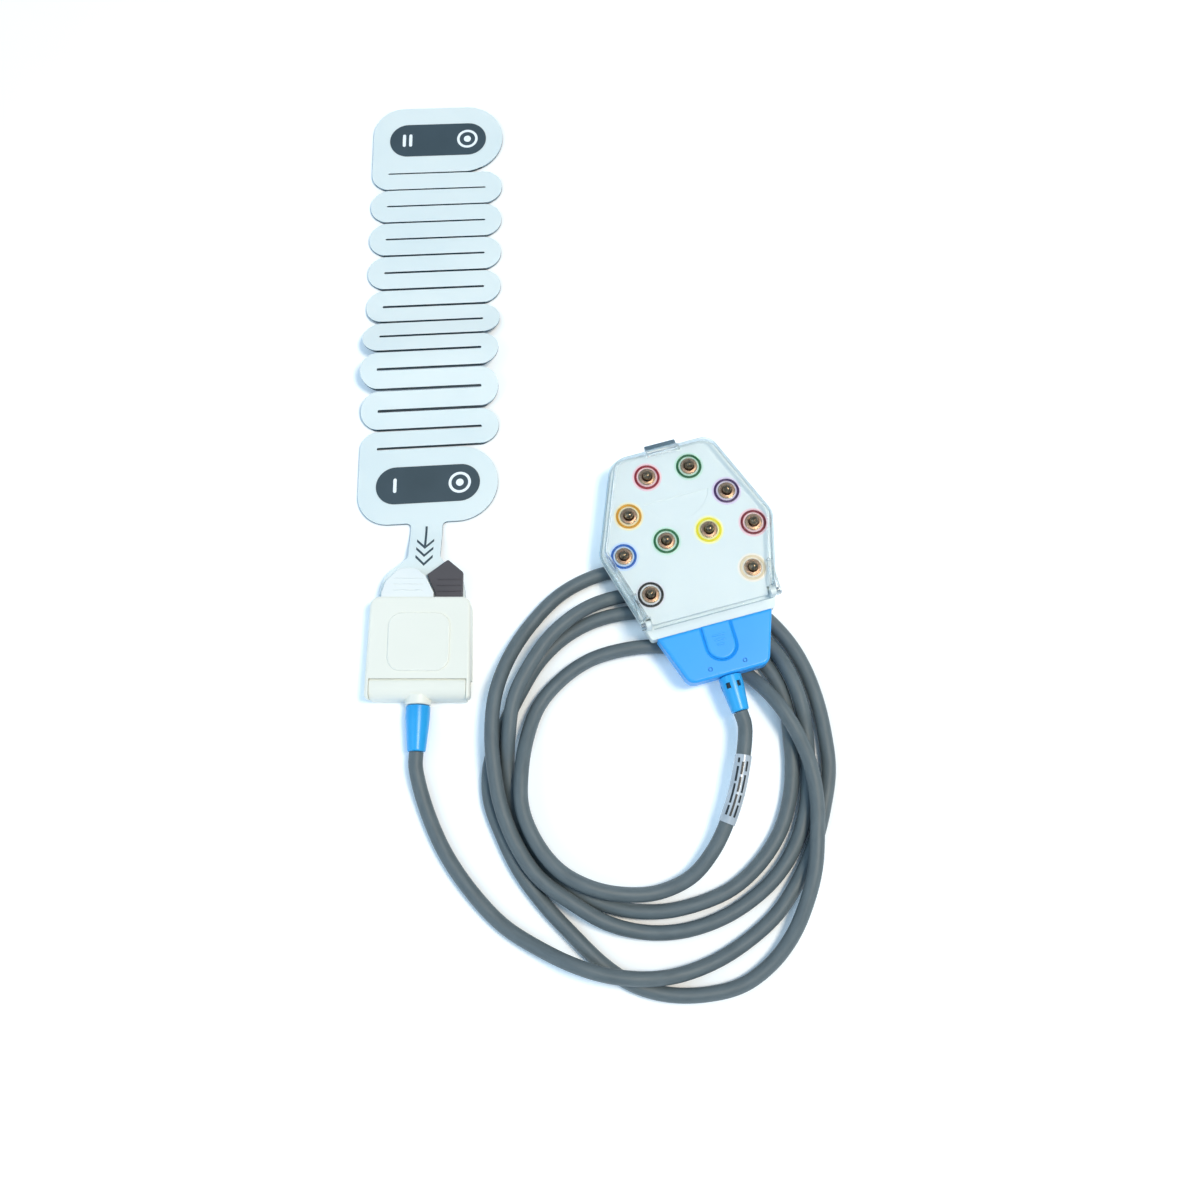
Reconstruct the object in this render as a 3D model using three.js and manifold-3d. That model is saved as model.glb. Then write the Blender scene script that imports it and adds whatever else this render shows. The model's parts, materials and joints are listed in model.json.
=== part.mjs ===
// Twelve-lead electrode patch on its clip connector, with a trunk cable and a ten-stud snap adapter.
// Millimetres, +Z up, lying on z = 0 with the origin under the middle of the rigid pieces.
import * as THREE from 'three';
import { mergeVertices } from 'three/addons/utils/BufferGeometryUtils.js';
import Module from 'manifold-3d';

const wasm = await Module();
wasm.setup();

// Sizes that every piece shares
const fit = 0.3;
const overrun = 2;
const mergeDistance = 1e-4;
const arcSteps = 3;
const lobeSteps = 4;
const roundSides = 16;
const edgeSteps = 2;
const rampSteps = 3;

// Where the two rigid ends lie on the table
const clipPlace = { x: -59.1, y: -90.65 };
const adapterPlace = { x: 58.9, y: -85.6, turn: 15.5 };

// Serpentine electrode strip, y counted from the lower end of its lower pad
const strip = {
  width: 61.5,
  padLength: 35.5,
  pitch: 17.4,
  turns: 8,
  slit: 1.1,
  web: 7.6,
  thickness: 1,
  cornerRadius: 14,
  innerCorner: 8,
  lean: 2,
  humpHeight: 8,
  humpLength: 62,
  humpCentre: 75,
};
strip.length = 2 * strip.padLength + strip.turns * strip.pitch;
const neck = { width: 13.8, length: 35.9, fillet: 2 };
// How much of the neck's length its flare takes, and where along it the ramp up to the clip begins and ends
const neckShares = { flare: 0.571, rampStart: 0.056, rampEnd: 0.529 };
const tail = { width: 36.6, length: 27, corner: 2, height: 4.7 };
const film = { thickness: 0.3 };
const tailFlareShares = { neckPull: 0.3, tailPullX: 0.96, tailPullY: 0.76, end: 0.1 };
const gel = { diameter: 13, thickness: 0.4, padSpacing: 28, inset: 9.5 };
const gelLobes = { right: [5, 6, 7], left: [4, 5, 6] };
const pill = { length: 45.7, width: 17.2, thickness: 0.2 };
const trace = { count: 10, width: 1.6, pitch: 3.2, length: 9, thickness: 0.1, setback: 11 };

// Clip connector, y counted back from its front edge
const clip = {
  frontWidth: 42.2,
  rearWidth: 44,
  length: 43.5,
  cornerRadius: 4,
  splitHeight: 6,
  floor: 1.6,
  wall: 2,
  edge: 1.2,
};
const barrel = { length: 8.8, height: 11.2, frontRound: 2.4, rearRound: 4.4, lowRound: 1.2 };
const collar = { diameter: 10.6, length: 2.1 };
const clipPocket = { length: 30, frontLand: 3 };
const lid = { height: 11.5, roof: 1.6, wall: 2.2, edge: 1.3, earThickness: 1.6, rearReach: 2.2 };
const lidPad = { width: 26, length: 25.1, setback: 7.1, corner: 6, rise: 0.7 };
const lidTab = {
  baseLeft: -17.3,
  baseRight: 3.9,
  tipLeft: -9.8,
  tipRight: -3.4,
  reach: 12.9,
  bottom: 7.4,
  top: 10,
};
const hingePin = { diameter: 1.8 };
const jaw = {
  width: 35,
  length: 28,
  thickness: 3.1,
  setback: 2.5,
  pocketWidth: 31,
  pocketLength: 12,
  pocketDepth: 1.3,
};
const jawTab = {
  rootLeft: 5.7,
  right: 17.3,
  left: 1.9,
  tip: 10.7,
  rootReach: 2.1,
  leftReach: 10.3,
  rightReach: 11.4,
  tipReach: 17,
  thickness: 2.3,
};
const jawTabCorners = [
  [jawTab.rootLeft, -2 * jaw.setback],
  [jawTab.right, -2 * jaw.setback],
  [jawTab.right, jawTab.rightReach],
  [jawTab.tip, jawTab.tipReach],
  [jawTab.left, jawTab.leftReach],
  [jawTab.rootLeft, jawTab.rootReach],
];
const rib = { width: 0.9, height: 0.4, pitch: 2.6, count: 3 };
const board = { width: 35, length: 24, thickness: 1.2 };
const contactStrip = { width: 33, length: 6 };

// Strain reliefs: root and tip diameters and length
const clipRelief = { root: 10.1, tip: 7.7, length: 18.9, height: 5.8, lip: 0.6 };
const plugRelief = { root: 9.6, tip: 7.4, length: 15.2, height: 12, lip: 0.6 };
const window = { count: 6, width: 2, length: 2.4, depth: 1.1, setback: 4.2 };

// Snap adapter, in its own turned frame with the two lowest studs at y = 0
const adapter = {
  frontWidth: 45,
  waistWidth: 77,
  rearWidth: 54.8,
  front: 62.4,
  waist: 22,
  rear: -18.3,
  frontCorner: 9,
  waistCorner: 7,
  rearCorner: 2,
};
const hexagon = [
  [-adapter.frontWidth / 2, adapter.front, adapter.frontCorner],
  [-adapter.waistWidth / 2, adapter.waist, adapter.waistCorner],
  [-adapter.rearWidth / 2, adapter.rear, adapter.rearCorner],
  [adapter.rearWidth / 2, adapter.rear, adapter.rearCorner],
  [adapter.waistWidth / 2, adapter.waist, adapter.waistCorner],
  [adapter.frontWidth / 2, adapter.front, adapter.frontCorner],
];
const shell = { bottom: 6.8, top: 14.2, wall: 2.2, floor: 1.8, inset: 0.6, edge: 1.4 };
const deck = { front: -9.8, top: 13.6 };
const plate = { bottom: 14.5, top: 16.6, inset: 2.6, edge: 0.4 };
const moon = { radius: 14.9, chord: 38.8, centre: 43.4, depth: 0.5 };
const dimple = { diameter: 3.4, depth: 0.3 };
const dimpleShares = [[0.01, 0.739], [0.018, -0.077]];
const stud = { flange: 7.4, flangeRise: 0.7, neck: 3, ball: 4, height: 3.6, shank: 3, dish: 5 };
const ring = { outer: 10.9, inner: 9.1, thickness: 0.3 };
// Stud and screw places as shares of half the waist's width and of the front edge's distance
const studShares = {
  black: [-0.577, 0],
  cream: [0.577, 0],
  green_lower: [-0.243, 0.333],
  yellow: [0.243, 0.333],
  blue: [-0.739, 0.304],
  red_right: [0.739, 0.304],
  orange: [-0.562, 0.569],
  purple: [0.562, 0.569],
  red_left: [-0.242, 0.808],
  green_upper: [0.242, 0.808],
};
const screwShares = {
  rear_left: [-0.364, 0.152],
  rear_right: [0.364, 0.152],
  front_left: [-0.494, 0.811],
  front_right: [0.494, 0.811],
};
const onAdapter = ([across, along]) => [(across * adapter.waistWidth) / 2, along * adapter.front];
const circuit = { bottom: 12.5, thickness: 1.4, inset: 5.4, front: -7.4 };
const resistor = { length: 13, width: 3.4, thickness: 1.5, x: 9.5, y: 28 };
const screw = { head: 5, headHeight: 1.4, shank: 2.4, sink: 0.5, tip: 15.6, post: 6.2, sides: 12 };
const screwCentres = Object.values(screwShares).map(onAdapter);
const cover = {
  bottom: 14.5,
  shoulder: 20.4,
  top: 22,
  wall: 1.2,
  draft: 2,
  edge: 1.3,
  rear: -15.8,
  skirtEnd: -9.6,
};
const coverEar = { inner: 28.3, thickness: 1.7, front: 1.4, low: 16.9, high: 20.9, corner: 0.5 };
const coverPivot = { y: -12.5, z: 18.8, round: 1.9, pin: 1.6 };
const post = { thickness: 2.3, round: 1.6 };
const latch = {
  width: 13.6,
  thickness: 1.6,
  bottom: 11.6,
  hook: 0.9,
  hookHeight: 1,
  reach: 1.7,
  leverHeight: 1.3,
  top: 19.6,
};
const latchPocket = { side: 0.5, depth: 2.1 };

// Plug of the trunk cable, in the adapter's frame
const plug = {
  front: -18.9,
  rear: -40.7,
  frontWidth: 49.6,
  rearWidth: 34.2,
  bottom: 7.6,
  split: 12,
  top: 16.4,
};
const plugCorner = { front: 0.6, rear: 4.5, edge: 1.3 };
const button = {
  width: 12.2,
  rear: -34.1,
  bottom: 13.6,
  rise: 0.2,
  noseWidth: 7,
  noseReach: 1.8,
  travel: 1.2,
};
const plugDimple = { x: 7.4, y: -36.9, diameter: 1.7, depth: 0.4 };
const tongue = { width: 28, bottom: 9.9, thickness: 1.4, front: -10.4, rear: -33 };
const pin = { count: 12, pitch: 2.1, width: 1.1, thickness: 0.1, length: 6 };
const socket = { wall: 0.9, rear: -15.8, front: -8.4 };

// Trunk cable and the blank label wrapped round it near the plug
const cable = { diameter: 6, sides: 8, steps: 132, sampleStep: 2, nearAlong: 25 };
const label = { length: 27, start: 19, thickness: 0.3, sides: 12, steps: 3 };

// The cable's way over the table, chosen by hand: x, y and the height of its middle
const route = [
  [-55, -177, 3.7], [-46.5, -195.5, 3.3], [-35, -211.5, 3.3], [-22, -224.5, 3.3], [-7, -233.5, 5.6],
  [6.5, -239.5, 9.6], [18.5, -243, 10], [32.5, -244.5, 9.4], [46, -243.5, 5.2], [60, -239, 3.3],
  [72.5, -232, 3.3], [86.5, -220.5, 3.3], [96.5, -206.5, 3.3], [103.5, -192, 3.3], [108, -177, 3.3],
  [110.5, -162.5, 3.3], [109.5, -147.5, 3.3], [106.5, -132, 3.3], [101.5, -118, 3.3], [95, -107, 3.3],
  [83.5, -95, 3.3], [66.5, -84.5, 3.3], [47.5, -78, 3.3], [31, -77, 3.3], [16.5, -79, 3.3],
  [0, -87.5, 3.3], [-13.5, -102, 4], [-22.5, -118, 7.2], [-27, -133, 9.4], [-28, -149, 10],
  [-26.5, -164, 9.8], [-23.5, -178, 9.6], [-17.5, -192.5, 8.8], [-8.5, -205.5, 8.1], [5, -215.5, 7.6],
  [19.5, -223.5, 5.8], [34.5, -227, 3.3], [49, -226.5, 3.3], [64, -222, 3.3], [77, -214.5, 3.3],
  [88, -204.5, 3.3], [96, -192, 3.3], [100.5, -178, 3.3], [102, -163.5, 3.3], [102, -149, 3.3],
  [99.5, -134.5, 6.8], [95, -122, 6.8], [88.5, -111, 4.4], [77, -100.5, 3.3], [60, -92, 3.3],
  [42.5, -87.5, 3.3], [24, -89, 3.6], [9.5, -95.5, 7.5], [-3.5, -106.5, 9.4], [-12.5, -119.5, 10],
  [-19, -133.5, 9.8], [-21, -147.5, 8.9], [-21.5, -161, 5], [-19, -175, 3.3], [-13, -189.5, 3.3],
  [-3, -203, 3.3], [10.5, -213, 3.3], [25, -218, 3.3], [40.5, -219, 3.3], [55.5, -216, 3.3],
  [69.5, -210, 3.3], [81, -200, 3.3], [89.5, -187.5, 3.3], [94, -174, 3.3], [95.5, -160.5, 3.3],
  [95, -148, 3.3], [94, -136.5, 3.3], [90.5, -125.5, 3.3], [83, -115, 3.3], [72, -107, 3.3],
  [57.5, -100, 3.3], [42.5, -96, 3.3], [28, -96, 3.3], [14, -99.5, 3.3], [1.5, -106.5, 3.3],
  [-9, -117, 3.3], [-17.5, -131.5, 3.3], [-24.5, -147, 3.3], [-29, -161, 3.3], [-28.5, -175, 3.3],
  [-23, -189.5, 3.3], [-16, -203, 3.3], [-6.5, -215.5, 3.3], [5.5, -228, 3.3], [18.5, -240, 3.3],
  [30, -247, 3.3], [43, -250.5, 3.3], [58, -250.5, 3.3], [72.5, -247, 3.3], [84.5, -238.5, 4],
  [93, -227.5, 5.8], [98.5, -215, 8.4], [102, -202.5, 10], [103.5, -189, 10], [104, -175.5, 9.7],
  [102, -161.5, 10.1], [97.5, -149, 9.6], [91.5, -138.5, 9.9], [85, -130, 7.9], [77, -122, 4],
  [66.5, -116.5, 3.3], [54.5, -112.5, 3.3], [40, -110.5, 3.3], [26, -112, 3.3], [12, -116.5, 3.3],
  [0, -125, 3.3], [-9, -136, 3.6], [-13.5, -149, 5.8], [-15.5, -164, 9.4], [-15, -178.5, 10],
  [-9, -192.5, 10], [0.5, -203.5, 10], [13, -210, 10], [26.5, -212.5, 8], [40, -211.5, 6],
  [53, -205.5, 6.6], [62, -195, 8.5], [68.5, -181.5, 10.4], [72.8, -167, 11.7],
];

const finishes = {
  foam: [0xe9f2f8, 0.7, 0],
  print: [0x44535b, 0.6, 0],
  gel: [0xd8e6ea, 0.25, 0],
  carbon: [0x2b2e30, 0.6, 0],
  white: [0xeef0ea, 0.45, 0],
  dark: [0x555254, 0.55, 0],
  silicone: [0xb9bfc2, 0.7, 0],
  gold: [0xc9a56b, 0.25, 1],
  steel: [0xa9adb0, 0.35, 1],
  circuit: [0x2f6b46, 0.5, 0],
  blue: [0x2f93ea, 0.45, 0],
  cable: [0x6b7880, 0.6, 0],
  label: [0xf4f6f6, 0.4, 0],
  clear: [0xdfeaf0, 0.08, 0],
  resistor: [0x23282c, 0.5, 0],
};
const ringColours = {
  black: 0x15171a,
  cream: 0xe6d8bd,
  green_lower: 0x1d7a45,
  yellow: 0xe6d62c,
  blue: 0x1f62b4,
  red_right: 0x8c1626,
  orange: 0xd9a520,
  purple: 0x4a1f5e,
  red_left: 0xa81f30,
  green_upper: 0x1b7040,
};

// Solids and meshes
function toSolid(geometry) {
  const bare = new THREE.BufferGeometry();
  bare.setAttribute('position', geometry.getAttribute('position').clone());
  if (geometry.index) bare.setIndex(geometry.index.clone());
  const merged = mergeVertices(bare, mergeDistance);
  return new wasm.Manifold(new wasm.Mesh({
    numProp: 3,
    vertProperties: new Float32Array(merged.getAttribute('position').array),
    triVerts: new Uint32Array(merged.index.array),
  }));
}

function toGeometry(solid) {
  const mesh = solid.getMesh();
  const geometry = new THREE.BufferGeometry();
  const places = new Float32Array(mesh.vertProperties);
  geometry.setAttribute('position', new THREE.BufferAttribute(places, mesh.numProp));
  geometry.setIndex(new THREE.BufferAttribute(new Uint32Array(mesh.triVerts), 1));
  geometry.computeVertexNormals();
  return geometry;
}

const join = (first, ...others) =>
  toGeometry(others.reduce((sum, other) => sum.add(toSolid(other)), toSolid(first)));
const cut = (first, ...others) =>
  toGeometry(others.reduce((rest, other) => rest.subtract(toSolid(other)), toSolid(first)));
const common = (first, second) => toGeometry(toSolid(first).intersect(toSolid(second)));

function piece(name, geometry, finish, colour) {
  const [own, roughness, metalness] = finishes[finish];
  const material = new THREE.MeshStandardMaterial({ color: colour ?? own, roughness, metalness });
  const mesh = new THREE.Mesh(geometry, material);
  mesh.name = name;
  return mesh;
}

// Points along an outline whose corners are [x, y, radius], counter-clockwise
function outlinePoints(corners, steps) {
  return corners.flatMap(([x, y, radius = 0], index) => {
    const corner = new THREE.Vector2(x, y);
    if (radius === 0) return [corner];
    const [beforeX, beforeY] = corners.at(index - 1);
    const [afterX, afterY] = corners[(index + 1) % corners.length];
    const back = new THREE.Vector2(beforeX, beforeY).sub(corner).normalize();
    const ahead = new THREE.Vector2(afterX, afterY).sub(corner).normalize();
    const half = Math.acos(THREE.MathUtils.clamp(back.dot(ahead), -1, 1)) / 2;
    const sweep = (Math.PI - 2 * half) * Math.sign(ahead.cross(back));
    const middle = back.clone().add(ahead).normalize();
    const centre = corner.clone().addScaledVector(middle, radius / Math.sin(half));
    const spoke = corner.addScaledVector(back, radius / Math.tan(half)).sub(centre);
    const turned = (k) => spoke.clone().rotateAround(new THREE.Vector2(), (sweep * k) / steps).add(centre);
    return Array.from({ length: steps + 1 }, (_, k) => turned(k));
  });
}

function roundedShape(corners, steps) {
  const points = outlinePoints(corners, steps);
  return new THREE.Shape(points.filter((point, k) => point.distanceTo(points.at(k - 1)) > mergeDistance));
}

// The same corners moved inward, with their radii shrunk to match
function inset(corners, distance) {
  return corners.map(([x, y, radius = 0], index) => {
    const [beforeX, beforeY] = corners.at(index - 1);
    const [afterX, afterY] = corners[(index + 1) % corners.length];
    const arrive = new THREE.Vector2(x - beforeX, y - beforeY).normalize();
    const leave = new THREE.Vector2(afterX - x, afterY - y).normalize();
    const scale = distance / (1 + arrive.dot(leave));
    const shrunk = Math.max(radius - distance, radius > 0 ? fit : 0);
    return [x - (arrive.y + leave.y) * scale, y + (arrive.x + leave.x) * scale, shrunk];
  });
}

const rectangle = (left, right, front, back, radius = 0) =>
  [[left, front, radius], [right, front, radius], [right, back, radius], [left, back, radius]];

function prism(corners, bottom, top, steps = arcSteps) {
  const shape = corners instanceof THREE.Shape ? corners : roundedShape(corners, steps);
  const options = { depth: top - bottom, bevelEnabled: false, curveSegments: steps };
  return new THREE.ExtrudeGeometry(shape, options).translate(0, 0, bottom);
}

const box = (left, right, front, back, bottom, top) =>
  prism(rectangle(left, right, front, back), bottom, top);

// A profile drawn in y and z, carried from one x to another
function across(corners, from, to, steps = arcSteps) {
  const alongY = new THREE.Vector3(0, 1, 0);
  const alongZ = new THREE.Vector3(0, 0, 1);
  const alongX = new THREE.Vector3(1, 0, 0);
  return prism(corners, from, to, steps).applyMatrix4(new THREE.Matrix4().makeBasis(alongY, alongZ, alongX));
}

// A rod along x
function rod(y, z, diameter, from, to, sides = roundSides) {
  const upended = new THREE.CylinderGeometry(diameter / 2, diameter / 2, to - from, sides);
  return upended.rotateZ(Math.PI / 2).translate((from + to) / 2, y, z);
}

// An upright rod
function upright(x, y, diameter, bottom, top, sides = roundSides) {
  const lying = new THREE.CylinderGeometry(diameter / 2, diameter / 2, top - bottom, sides);
  return lying.rotateX(Math.PI / 2).translate(x, y, (bottom + top) / 2);
}

// A closed skin through rings of equal point counts, given as [corners, height]
function loft(levels, steps = arcSteps) {
  const rings = levels.map(([corners, height]) =>
    outlinePoints(corners, steps).map((point) => new THREE.Vector3(point.x, point.y, height)));
  const count = rings[0].length;
  const flat = rings[0].map((point) => new THREE.Vector2(point.x, point.y));
  const caps = THREE.ShapeUtils.triangulateShape(flat, []);
  const last = (rings.length - 1) * count;
  const index = caps.flatMap(([a, b, c]) => [c, b, a, last + a, last + b, last + c]);
  for (let ringNumber = 0; ringNumber < rings.length - 1; ringNumber += 1) {
    for (let k = 0; k < count; k += 1) {
      const low = ringNumber * count;
      const next = (k + 1) % count;
      index.push(low + k, low + next, low + count + next);
      index.push(low + k, low + count + next, low + count + k);
    }
  }
  const geometry = new THREE.BufferGeometry().setFromPoints(rings.flat());
  geometry.setIndex(index);
  geometry.computeVertexNormals();
  return geometry;
}

// A block with its lower and upper edges rounded over
function softBlock(corners, bottom, top, lowEdge, highEdge) {
  const levels = [];
  for (let k = 0; k <= edgeSteps && lowEdge > 0; k += 1) {
    const angle = (k / edgeSteps) * (Math.PI / 2);
    const height = bottom + lowEdge * (1 - Math.cos(angle));
    levels.push([inset(corners, lowEdge * (1 - Math.sin(angle))), height]);
  }
  if (lowEdge === 0) levels.push([corners, bottom]);
  for (let k = 0; k <= edgeSteps && highEdge > 0; k += 1) {
    const angle = (k / edgeSteps) * (Math.PI / 2);
    const height = top - highEdge * (1 - Math.sin(angle));
    levels.push([inset(corners, highEdge * (1 - Math.cos(angle))), height]);
  }
  if (highEdge === 0) levels.push([corners, top]);
  return loft(levels);
}

// Serpentine outline shared by the foam and the film under it
function stripOutline() {
  const half = strip.width / 2;
  const edge = strip.slit / 2;
  const lobe = (strip.pitch - strip.slit) / 2;
  const quarter = Math.PI / 2;
  const slitEnd = half - strip.web;
  const rightSlit = (k) => strip.padLength + k * strip.pitch;
  const leftSlit = (k) => rightSlit(k) + strip.pitch / 2;
  const padRound = (strip.padLength - edge) / 2;
  const corner = strip.cornerRadius;
  const inner = strip.innerCorner;
  const shape = new THREE.Shape();
  shape.moveTo(half - padRound, 0);
  shape.absarc(half - padRound, padRound, padRound, -quarter, quarter, false);
  for (let k = 0; k <= strip.turns; k += 1) {
    const y = rightSlit(k);
    shape.lineTo(-slitEnd, y - edge);
    shape.lineTo(-slitEnd, y + edge);
    if (k < strip.turns) {
      shape.absarc(half - lobe, y + strip.pitch / 2, lobe, -quarter, quarter, false);
    }
  }
  shape.absarc(half - padRound, strip.length - padRound, padRound, -quarter, quarter, false);
  shape.absarc(corner - half, strip.length - corner, corner, quarter, 2 * quarter, false);
  const topInner = leftSlit(strip.turns - 1) + edge + inner;
  shape.absarc(inner - half, topInner, inner, 2 * quarter, 3 * quarter, false);
  for (let k = strip.turns - 1; k >= 0; k -= 1) {
    const y = leftSlit(k);
    shape.lineTo(slitEnd, y + edge);
    shape.lineTo(slitEnd, y - edge);
    if (k > 0) shape.absarc(lobe - half, y - strip.pitch / 2, lobe, quarter, 3 * quarter, false);
  }
  shape.absarc(inner - half, leftSlit(0) - edge - inner, inner, quarter, 2 * quarter, false);
  shape.absarc(corner - half, corner, corner, 2 * quarter, 3 * quarter, false);
  shape.closePath();
  return shape;
}

// Neck and tail, drawn from inside the lower pad down to the end that the clip holds
function tailOutline() {
  const side = neck.width / 2;
  const tailSide = tail.width / 2;
  const flare = neck.length * neckShares.flare;
  const flareTop = flare - neck.length;
  const flareEnd = flareTop - flare * (1 - tailFlareShares.end);
  const pullY = flareEnd + (flareTop - flareEnd) * tailFlareShares.tailPullY;
  const neckPullY = flareTop - flare * tailFlareShares.neckPull;
  const end = -neck.length - tail.length;
  const quarter = Math.PI / 2;
  const down = (k) => -neck.fillet + ((flareTop + neck.fillet) * k) / rampSteps;
  const shape = new THREE.Shape();
  shape.moveTo(side + neck.fillet, neck.fillet);
  shape.lineTo(-side - neck.fillet, neck.fillet);
  shape.absarc(-side - neck.fillet, -neck.fillet, neck.fillet, quarter, 0, true);
  for (let k = 1; k <= rampSteps; k += 1) shape.lineTo(-side, down(k));
  const pullX = tailSide * tailFlareShares.tailPullX;
  shape.bezierCurveTo(-side, neckPullY, -pullX, pullY, -tailSide, flareEnd);
  shape.absarc(tail.corner - tailSide, end + tail.corner, tail.corner, 2 * quarter, 3 * quarter, false);
  shape.absarc(tailSide - tail.corner, end + tail.corner, tail.corner, -quarter, 0, false);
  shape.lineTo(tailSide, flareEnd);
  shape.bezierCurveTo(pullX, pullY, side, neckPullY, side, flareTop);
  for (let k = rampSteps - 1; k >= 0; k -= 1) shape.lineTo(side, down(k));
  shape.absarc(side + neck.fillet, -neck.fillet, neck.fillet, 2 * quarter, quarter, true);
  shape.closePath();
  return shape;
}

// How high the strip's underside lies above the gels' underside at y
function lift(y) {
  const phase = (y - strip.humpCentre) / strip.humpLength;
  if (Math.abs(phase) < 1 / 2) return (strip.humpHeight * (1 + Math.cos(2 * Math.PI * phase))) / 2;
  const rampStart = neck.length * neckShares.rampStart;
  const rampEnd = neck.length * neckShares.rampEnd;
  const climb = THREE.MathUtils.clamp((-y - rampStart) / (rampEnd - rampStart), 0, 1);
  return (tail.height - gel.thickness) * climb * climb * (3 - 2 * climb);
}

// Lays a flat piece of the strip over the hump, up the ramp and along the strip's slight lean
function drape(geometry) {
  const position = geometry.getAttribute('position');
  for (let k = 0; k < position.count; k += 1) {
    const y = position.getY(k);
    position.setX(k, position.getX(k) - (strip.lean * Math.max(y, 0)) / strip.length);
    position.setZ(k, position.getZ(k) + lift(y));
  }
  geometry.computeVertexNormals();
  return geometry;
}

function gelPlaces() {
  const half = strip.width / 2;
  const pads = [strip.padLength / 2, strip.length - strip.padLength / 2];
  const places = pads.flatMap((y) => [[-gel.padSpacing / 2, y], [gel.padSpacing / 2, y]]);
  const rightY = (k) => strip.padLength + (k + 1 / 2) * strip.pitch;
  gelLobes.right.forEach((k) => places.push([half - gel.inset, rightY(k)]));
  gelLobes.left.forEach((k) => places.push([gel.inset - half, rightY(k) + strip.pitch / 2]));
  return places;
}

// One flat layer of the patch, cut to the strip and its tail
function layer(bottom, top) {
  const sheets = [stripOutline(), tailOutline()].map((shape) => prism(shape, bottom, top, lobeSteps));
  return join(...sheets.map(drape));
}

// Thin film under the foam: round gels below its pads and lobes, contact strips below its tail
function buildFilm() {
  const inside = gel.thickness + film.thickness / 2;
  const gels = gelPlaces().map(([x, y]) => drape(upright(x, y, gel.diameter, 0, inside)));
  const back = -neck.length - trace.setback;
  const traces = Array.from({ length: trace.count }, (_, k) => {
    const x = (k - (trace.count - 1) / 2) * trace.pitch;
    const sides = [x - trace.width / 2, x + trace.width / 2];
    return drape(box(...sides, back - trace.length, back, gel.thickness - trace.thickness, inside));
  });
  return join(layer(gel.thickness, gel.thickness + film.thickness), ...gels, ...traces);
}

function buildPatch() {
  const bottom = gel.thickness + film.thickness;
  const top = bottom + strip.thickness;
  const pillEnd = pill.length / 2;
  const pillSide = pill.width / 2;
  const pillCorners = rectangle(-pillEnd, pillEnd, -pillSide, pillSide, pillSide);
  const pillAt = (y) =>
    drape(prism(pillCorners, top, top + pill.thickness, 2 * lobeSteps).translate(0, y, 0));
  const group = new THREE.Group();
  group.add(piece('patch_carrier', layer(bottom, top), 'foam'));
  group.add(piece('electrode_film', buildFilm(), 'gel'));
  group.add(piece('lower_pad_label', pillAt(strip.padLength / 2), 'print'));
  group.add(piece('upper_pad_label', pillAt(strip.length - strip.padLength / 2), 'print'));
  group.position.set(0, neck.length, 0);
  return group;
}

// Clip connector
const seam = barrel.length - clip.length;
const hinge = { y: seam - barrel.frontRound, z: barrel.height - barrel.frontRound };
const barrelHalf = clip.rearWidth / 2 - lid.earThickness - fit;

function clipOutline(rear) {
  const front = clip.frontWidth / 2;
  const side = front + ((clip.rearWidth - clip.frontWidth) / 2) * (rear / -clip.length);
  const corner = clip.cornerRadius;
  return [[-side, rear], [side, rear], [front, 0, corner], [-front, 0, corner]];
}

function buildClipBase() {
  const body = softBlock(clipOutline(seam), 0, clip.splitHeight, clip.edge, 0);
  const rear = -clip.length;
  const toe = seam + clip.wall;
  const profile = [
    [rear, 0, barrel.lowRound],
    [toe, 0],
    [toe, clip.splitHeight - fit],
    [seam, clip.splitHeight - fit],
    [seam, barrel.height, barrel.frontRound],
    [rear, barrel.height, barrel.rearRound],
  ];
  const tube = across(profile, -barrelHalf, barrelHalf);
  const collarRadius = collar.diameter / 2;
  const neckRing = new THREE.CylinderGeometry(collarRadius, collarRadius, collar.length * 2, roundSides);
  neckRing.translate(0, rear, clipRelief.height);
  const pocketSide = clip.frontWidth / 2 - clip.wall;
  const above = clip.splitHeight + overrun;
  const pocketEnd = -clipPocket.length;
  const pocket = box(-pocketSide, pocketSide, pocketEnd, -clipPocket.frontLand, clip.floor, above);
  const slot = box(-pocketSide, pocketSide, pocketEnd, overrun, tail.height - fit, above);
  const bore = rod(hinge.y, hinge.z, hingePin.diameter + 2 * fit, -clip.rearWidth, clip.rearWidth);
  return cut(join(body, tube, neckRing), pocket, slot, bore);
}

function ribbed(geometry, left, right, first, count, top) {
  const ribs = Array.from({ length: count }, (_, k) => {
    const y = first + k * rib.pitch;
    const foot = top - rib.height;
    return across([[y, foot], [y + rib.width, foot], [y + rib.width / 2, top + rib.height]], left, right);
  });
  return join(geometry, ...ribs);
}

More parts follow.
